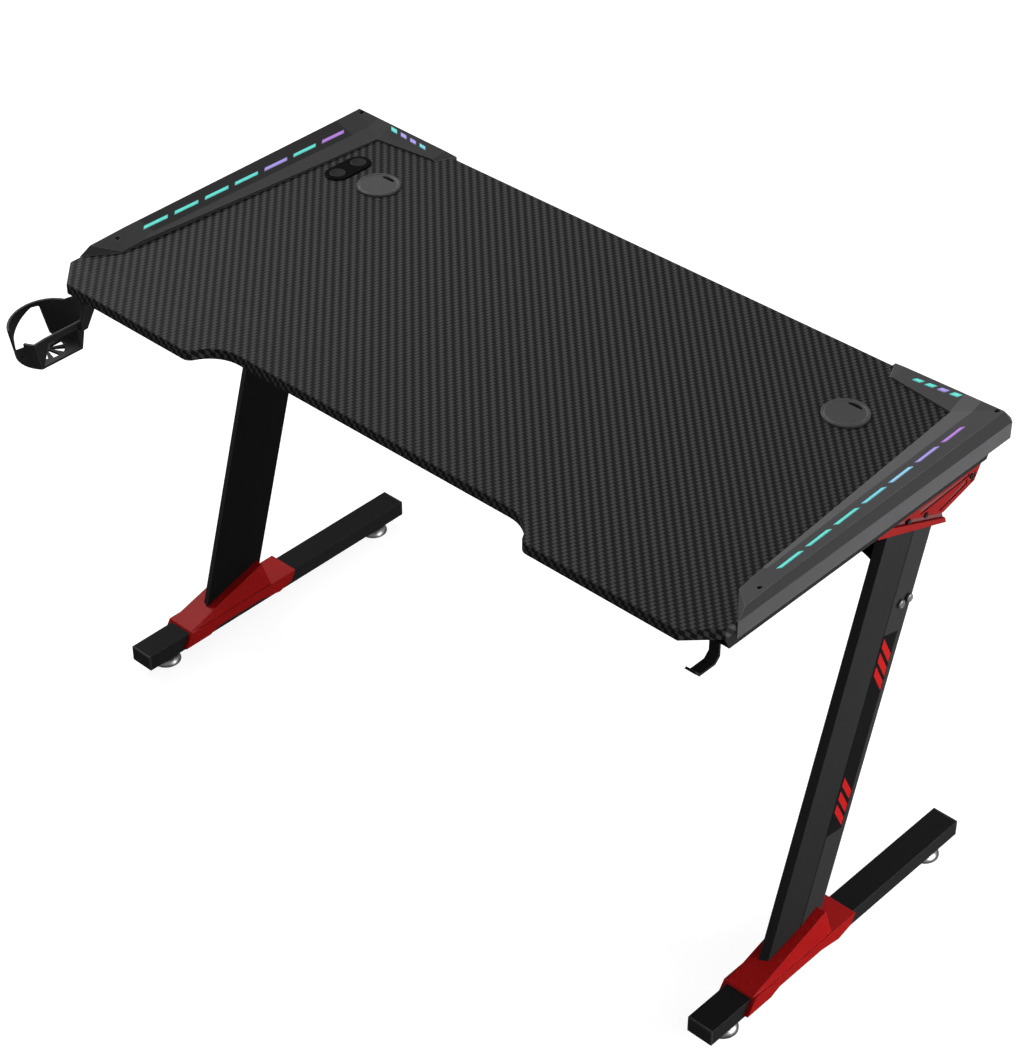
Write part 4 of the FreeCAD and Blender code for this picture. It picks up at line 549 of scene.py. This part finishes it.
def column_painted_shading(s, base):
    """Column with painted light on its rear facet and painted shade along its crease and on its inner faces.
    """
    x, y, z = s.axes()
    outward = s.times(s.facing()["X"], s.math("SIGN", s.minus(x, middle_x())))
    foot, lean, low = column_front("right")
    depth = s.minus(s.minus(y, s.times(z, lean)), foot - lean * low)
    from_crease = s.minus(depth, CREASE_DEPTH)
    outer = s.over(outward, SIDEWAYS)
    # Painted light on the rear facet, painted shade along the crease and on the inner faces
    rear = s.times(outer, s.over(from_crease, 0.0))
    crease_shade = s.times(outer, s.span(s.math("ABSOLUTE", from_crease), *CREASE_SHADE_LINE, 1.0, 0.0))
    base = s.mix(s.under(outward, -SIDEWAYS), base, grey(INNER_FACE_SHADE_LEVEL))
    base = s.mix(rear, base, grey(REAR_FACET_LIGHT_LEVEL))
    return s.mix(crease_shade, base, grey(CREASE_SHADE_LEVEL))


def bracket_paint():
    """Red powder coat that leaves the recess floors in a greyish primer."""
    s = Shader("red_powder_coat", Specular_IOR_Level=0.05)
    peel = s.noise(ORANGE_PEEL, detail=2.0)
    red = s.mix(s.spread(s.noise(BRACKET_CLOUDS)), *BRACKET_REDS)
    away = s.math("ABSOLUTE", s.minus(s.axes()["X"], middle_x()))
    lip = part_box("right_top_bracket")[1].x - middle_x()
    sideways = s.over(s.math("ABSOLUTE", s.facing()["X"]), SIDEWAYS)
    recess = s.times(s.under(away, lip - RECESS_DEPTH), sideways)
    s.colour(s.mix(recess, red, BRACKET_PRIMER))
    s.roughness(s.spread(peel, *BRACKET_ROUGHNESS))
    s.bump(peel, PEEL_DEPTH, PEEL_STRENGTH, soft_edge=0.0009)
    return s.material


def plated(name, level, roughness, marks, metallic=1.0, specular=0.5):
    """Plated steel with fine turning marks, at a noise scale, and a little uneven lustre."""
    s = Shader(name, Metallic=metallic, Specular_IOR_Level=specular)
    turned = s.noise(marks, detail=4.0, roughness=0.7, vector=s.stretched(*TURNING_STRETCH))
    s.colour(s.mix(s.spread(turned), [c * TURNING_SHADE for c in level], level))
    s.roughness(s.spread(turned, *[roughness * swing for swing in TURNING_SWING]))
    s.bump(turned, depth=0.00003, strength=0.3)
    return s.material


def gloss_plate():
    """Polished black plastic with faint swirl marks."""
    s = Shader("gloss_black_plastic", Specular_IOR_Level=0.02)
    swirl = s.noise(POLISH_SWIRLS, detail=5.0, roughness=0.75)
    s.colour(s.mix(s.span(swirl, *SWIRL_SHOW), grey(2), grey(6)))
    s.roughness(s.spread(swirl, *SWIRL_ROUGHNESS))
    s.bump(swirl, depth=0.00002, strength=0.2, soft_edge=0.0006)
    return s.material


def circuit_board():
    """Green solder mask over a net of traces."""
    s = Shader("solder_mask", Specular_IOR_Level=0.5, Roughness=0.35)
    traces = s.span(s.cells(BOARD_TRACES), *TRACE_SHOW)
    s.colour(s.mix(traces, *TRACE_COLOURS))
    s.bump(traces, depth=0.00004, strength=0.5)
    return s.material


def lit_lens(side):
    """Milky diffuser lit from below, one colour to each window, with a dark rim."""
    s = Shader(side + "_lit_lens", Specular_IOR_Level=0.3, Roughness=0.35)
    x, y, _ = s.axes()
    (y0, y1), (x0, x1) = light_spans(side)
    side_colours, return_colours = LIGHTS[side]
    along = s.steps(s.span(y, y0, y1), side_colours)
    across = s.steps(s.span(x, x0, x1), return_colours)
    glow = s.mix(s.over(y, y1), along, across)
    milk = s.spread(s.noise(LENS_MILK, detail=2.0), *MILK_STRENGTH)
    s.colour(s.mix(LENS_BODY_SHARE, glow, LENS_BODY))
    rimmed = s.mix(s.edges(LENS_RIM), glow, LENS_RIM_COLOUR)
    s.feed(s.surface.inputs["Emission Color"], rimmed)
    s.feed(s.surface.inputs["Emission Strength"], s.times(milk, LIGHT_STRENGTH))
    return s.material


def slot_materials():
    """Materials for the record's slots."""
    return {
        "board_film": carbon_film(),
        "trim_plastic": grained_plastic("trim_plastic", grey(70), grey(66), grain=0.0007,
                                        roughness=0.55, specular=0.02, edge_highlight_lift=34, painted_shading=trim_painted_shading),
        "grommet_plastic": grained_plastic("grommet_plastic", grey(58), grey(53), grain=0.0006,
                                           roughness=0.42, specular=0.18, edge_highlight_lift=40),
        "gloss_plate": gloss_plate(),
        "button_plastic": grained_plastic("button_plastic", grey(28), grey(21), grain=0.0005,
                                          roughness=0.45, specular=0.06, edge_highlight_lift=26),
        "circuit_board": circuit_board(),
        "zinc_steel": plated("blackened_zinc", (70, 70, 72), roughness=0.42, marks=900.0),
        "chrome_steel": plated("satin_chrome", (150, 150, 152), roughness=0.34, marks=260.0),
        "red_plastic": grained_plastic("red_plastic", (134, 10, 10), (125, 8, 8), grain=0.0011,
                                       roughness=0.48, specular=0.06, edge_highlight_lift=22, glint=34),
        "red_steel": bracket_paint(),
        "cap_plastic": grained_plastic("black_plastic", grey(36), grey(32), grain=0.0008,
                                       roughness=0.5, specular=0.05, edge_highlight_lift=44),
        "black_steel": powder_coat("black_powder_coat", grey(30), grey(26)),
    }


def paint():
    """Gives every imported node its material: its own where it has one, or else its slot's."""
    by_slot = slot_materials()
    # Coats of the columns and feet, with painted light and shade
    column = powder_coat("column_coat_painted_shade", grey(31), grey(28), column_painted_shading)
    foot = powder_coat("foot_coat_painted_shade", grey(30), grey(26), foot_painted_shade)
    black_bolt = plated("black_oxide", (15, 13, 14), roughness=0.5, marks=900.0, metallic=0.1, specular=0.1)
    holder = grained_plastic("holder_plastic", grey(42), grey(37), grain=0.0008,
                             roughness=0.5, specular=0.08, edge_highlight_lift=40)
    by_node = {"cup_holder": holder}
    for side in SIDES:
        by_node[side + "_light_lenses"] = lit_lens(side)
        by_node[side + "_bracket_bolts"] = black_bolt
        by_node[side + "_beam_bolts"] = by_slot["chrome_steel"]
        by_node[side + "_leg_column"] = column
        by_node[side + "_foot_tube"] = foot
    for part in frame["record"]["subparts"]:
        materials = NODES[part["node"]].data.materials
        materials.clear()
        materials.append(by_node.get(part["node"]) or by_slot[part["material_slot"]])


def shown(name, data):
    """New object in the scene."""
    obj = bpy.data.objects.new(name, data)
    bpy.context.scene.collection.objects.link(obj)
    return obj


def slab(name, near_corners, far_corners):
    """Closed piece between two matching rings of corners."""
    mesh = bmesh.new()
    near = [mesh.verts.new(corner) for corner in near_corners]
    far = [mesh.verts.new(corner) for corner in far_corners]
    mesh.faces.new(near)
    mesh.faces.new(far)
    for i in range(len(near)):
        j = (i + 1) % len(near)
        mesh.faces.new((near[i], near[j], far[j], far[i]))
    bmesh.ops.recalc_face_normals(mesh, faces=mesh.faces)
    data = bpy.data.meshes.new(name)
    mesh.to_mesh(data)
    mesh.free()
    return shown(name, data)


def open_holder_base():
    """Cup holder whose left window runs on through the base, so that the floor shows through it."""
    low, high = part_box("cup_holder")
    axis_x = high.x - HOLDER_AXIS_INSET
    axis_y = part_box("desktop")[0].y + HOLDER_FRONT_INSET
    outline = [(axis_y + across, low.z + up) for across, up in BASE_OPENING]
    ends = [[(axis_x + reach, y, z) for y, z in outline] for reach in BASE_OPENING_REACH]
    cutter = slab("base_opening", *ends)
    piece = shown("open_cup_holder", NODES["cup_holder"].data.copy())
    cut = piece.modifiers.new("opening", "BOOLEAN")
    cut.operation = "DIFFERENCE"
    cut.solver = "EXACT"
    cut.object = cutter
    mesh = bpy.data.meshes.new_from_object(piece.evaluated_get(bpy.context.evaluated_depsgraph_get()))
    piece.modifiers.clear()
    piece.data = mesh
    bpy.data.objects.remove(cutter)
    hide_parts("cup_holder")
    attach(piece, "desk")


def film(name, side, outline, lift, material):
    """Thin decal over the column's rear facet; the outline is (depth behind the front corner, height)."""
    face = rear_facet(side)
    anchor = NODES[side + "_leg_column"].data.vertices[face.vertices[0]].co
    foot, lean, low = column_front(side)
    lower = []
    for depth, z in outline:
        y = foot + COLUMN_SLANT + lean * (z - low) + depth
        x = anchor.x - (face.normal.y * (y - anchor.y) + face.normal.z * (z - anchor.z)) / face.normal.x
        lower.append(Vector((x, y, z)) + face.normal * lift)
    piece = slab(name, lower, [corner + face.normal * FILM_THICKNESS for corner in lower])
    piece.data.materials.append(material)
    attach(piece, "desk")


def add_leg_marks():
    """Dark film with six slanted red bars on each column's outer side."""
    dark = grained_plastic("decal_film", grey(15), grey(12), grain=0.0004,
                           roughness=0.42, specular=0.02, soft_edge=0.0)
    red = grained_plastic("red_decal", (150, 20, 20), (140, 17, 17), grain=0.0004,
                          roughness=0.45, specular=0.04, soft_edge=0.0)
    front, rear = BAR_SPAN
    for side in SIDES:
        film(side + "_leg_film", side, STICKER, FILM_THICKNESS, dark)
        for i, top in enumerate(BAR_TOPS):
            outline = ((front, top), (rear, top - BAR_DROP),
                       (rear, top - BAR_DROP - BAR_HEIGHT), (front, top - BAR_HEIGHT))
            film(f"{side}_leg_bar_{i + 1}", side, outline, BAR_LIFT, red)


def add_floor():
    """Wide pale lit floor, which throws no light back on the desk."""
    half = FLOOR_HALF_WIDTH
    mesh = bpy.data.meshes.new("floor")
    corners = [(-half, -half), (half, -half), (half, half), (-half, half)]
    mesh.from_pydata([(x, y, FLOOR_HEIGHT) for x, y in corners], [], [(0, 1, 2, 3)])
    floor = shown("floor", mesh)
    s = Shader("pale_floor", Specular_IOR_Level=0.0, Roughness=0.8, Emission_Color=WHITE,
               Emission_Strength=FLOOR_GLOW)
    s.colour(s.mix(s.spread(s.noise(FLOOR_CLOUDS)), *FLOOR_COLOURS))
    mesh.materials.append(s.material)
    floor.visible_diffuse = False
    floor.visible_glossy = False


def add_light(name, place, aim, size, power):
    """Soft rectangular lamp that points at a place."""
    data = bpy.data.lights.new(name, "AREA")
    data.shape = "RECTANGLE"
    data.size, data.size_y = size
    data.energy = power
    lamp = shown(name, data)
    lamp.location = place
    lamp.visible_camera = False
    lamp.rotation_euler = (Vector(aim) - Vector(place)).to_track_quat("-Z", "Y").to_euler()


def add_studio():
    """White surroundings, dimmer below, with a low key lamp at the right and two large soft lamps."""
    world = bpy.data.worlds.new("studio")
    bpy.context.scene.world = world
    world.use_nodes = True
    tree = world.node_tree
    sky = tree.nodes["Background"]
    sky.inputs["Color"].default_value = WHITE
    direction = tree.nodes.new("ShaderNodeTexCoord")
    split = tree.nodes.new("ShaderNodeSeparateXYZ")
    level = tree.nodes.new("ShaderNodeMapRange")
    tree.links.new(direction.outputs["Generated"], split.inputs[0])
    tree.links.new(split.outputs["Z"], level.inputs["Value"])
    for socket, value in zip(level.inputs[1:5], (-SKY_FADE, SKY_FADE, SKY_BELOW, SKY_ABOVE)):
        socket.default_value = value
    tree.links.new(level.outputs[0], sky.inputs["Strength"])
    for name, lamp in LAMPS.items():
        add_light(name, *lamp)


def add_camera():
    """Camera at the photograph's place; its sensor spans the picture's longer side, which is the height."""
    data = bpy.data.cameras.new("camera")
    data.sensor_width = SENSOR_MM
    data.sensor_fit = "AUTO"
    data.lens = FOCAL_PIXELS / PHOTO_HEIGHT_PIXELS * SENSOR_MM
    data.clip_end = CAMERA_REACH
    camera = shown("camera", data)
    low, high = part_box("desktop")
    middle = (low + high) / 2
    camera.location = (middle.x + CAMERA_OFFSET[0], middle.y + CAMERA_OFFSET[1], CAMERA_HEIGHT)
    camera.rotation_euler = Vector(CAMERA_AIM).to_track_quat("-Z", "Y").to_euler()
    bpy.context.scene.camera = camera


paint()
open_holder_base()
add_leg_marks()
add_floor()
add_studio()
add_camera()
bpy.context.scene.view_settings.view_transform = "Standard"
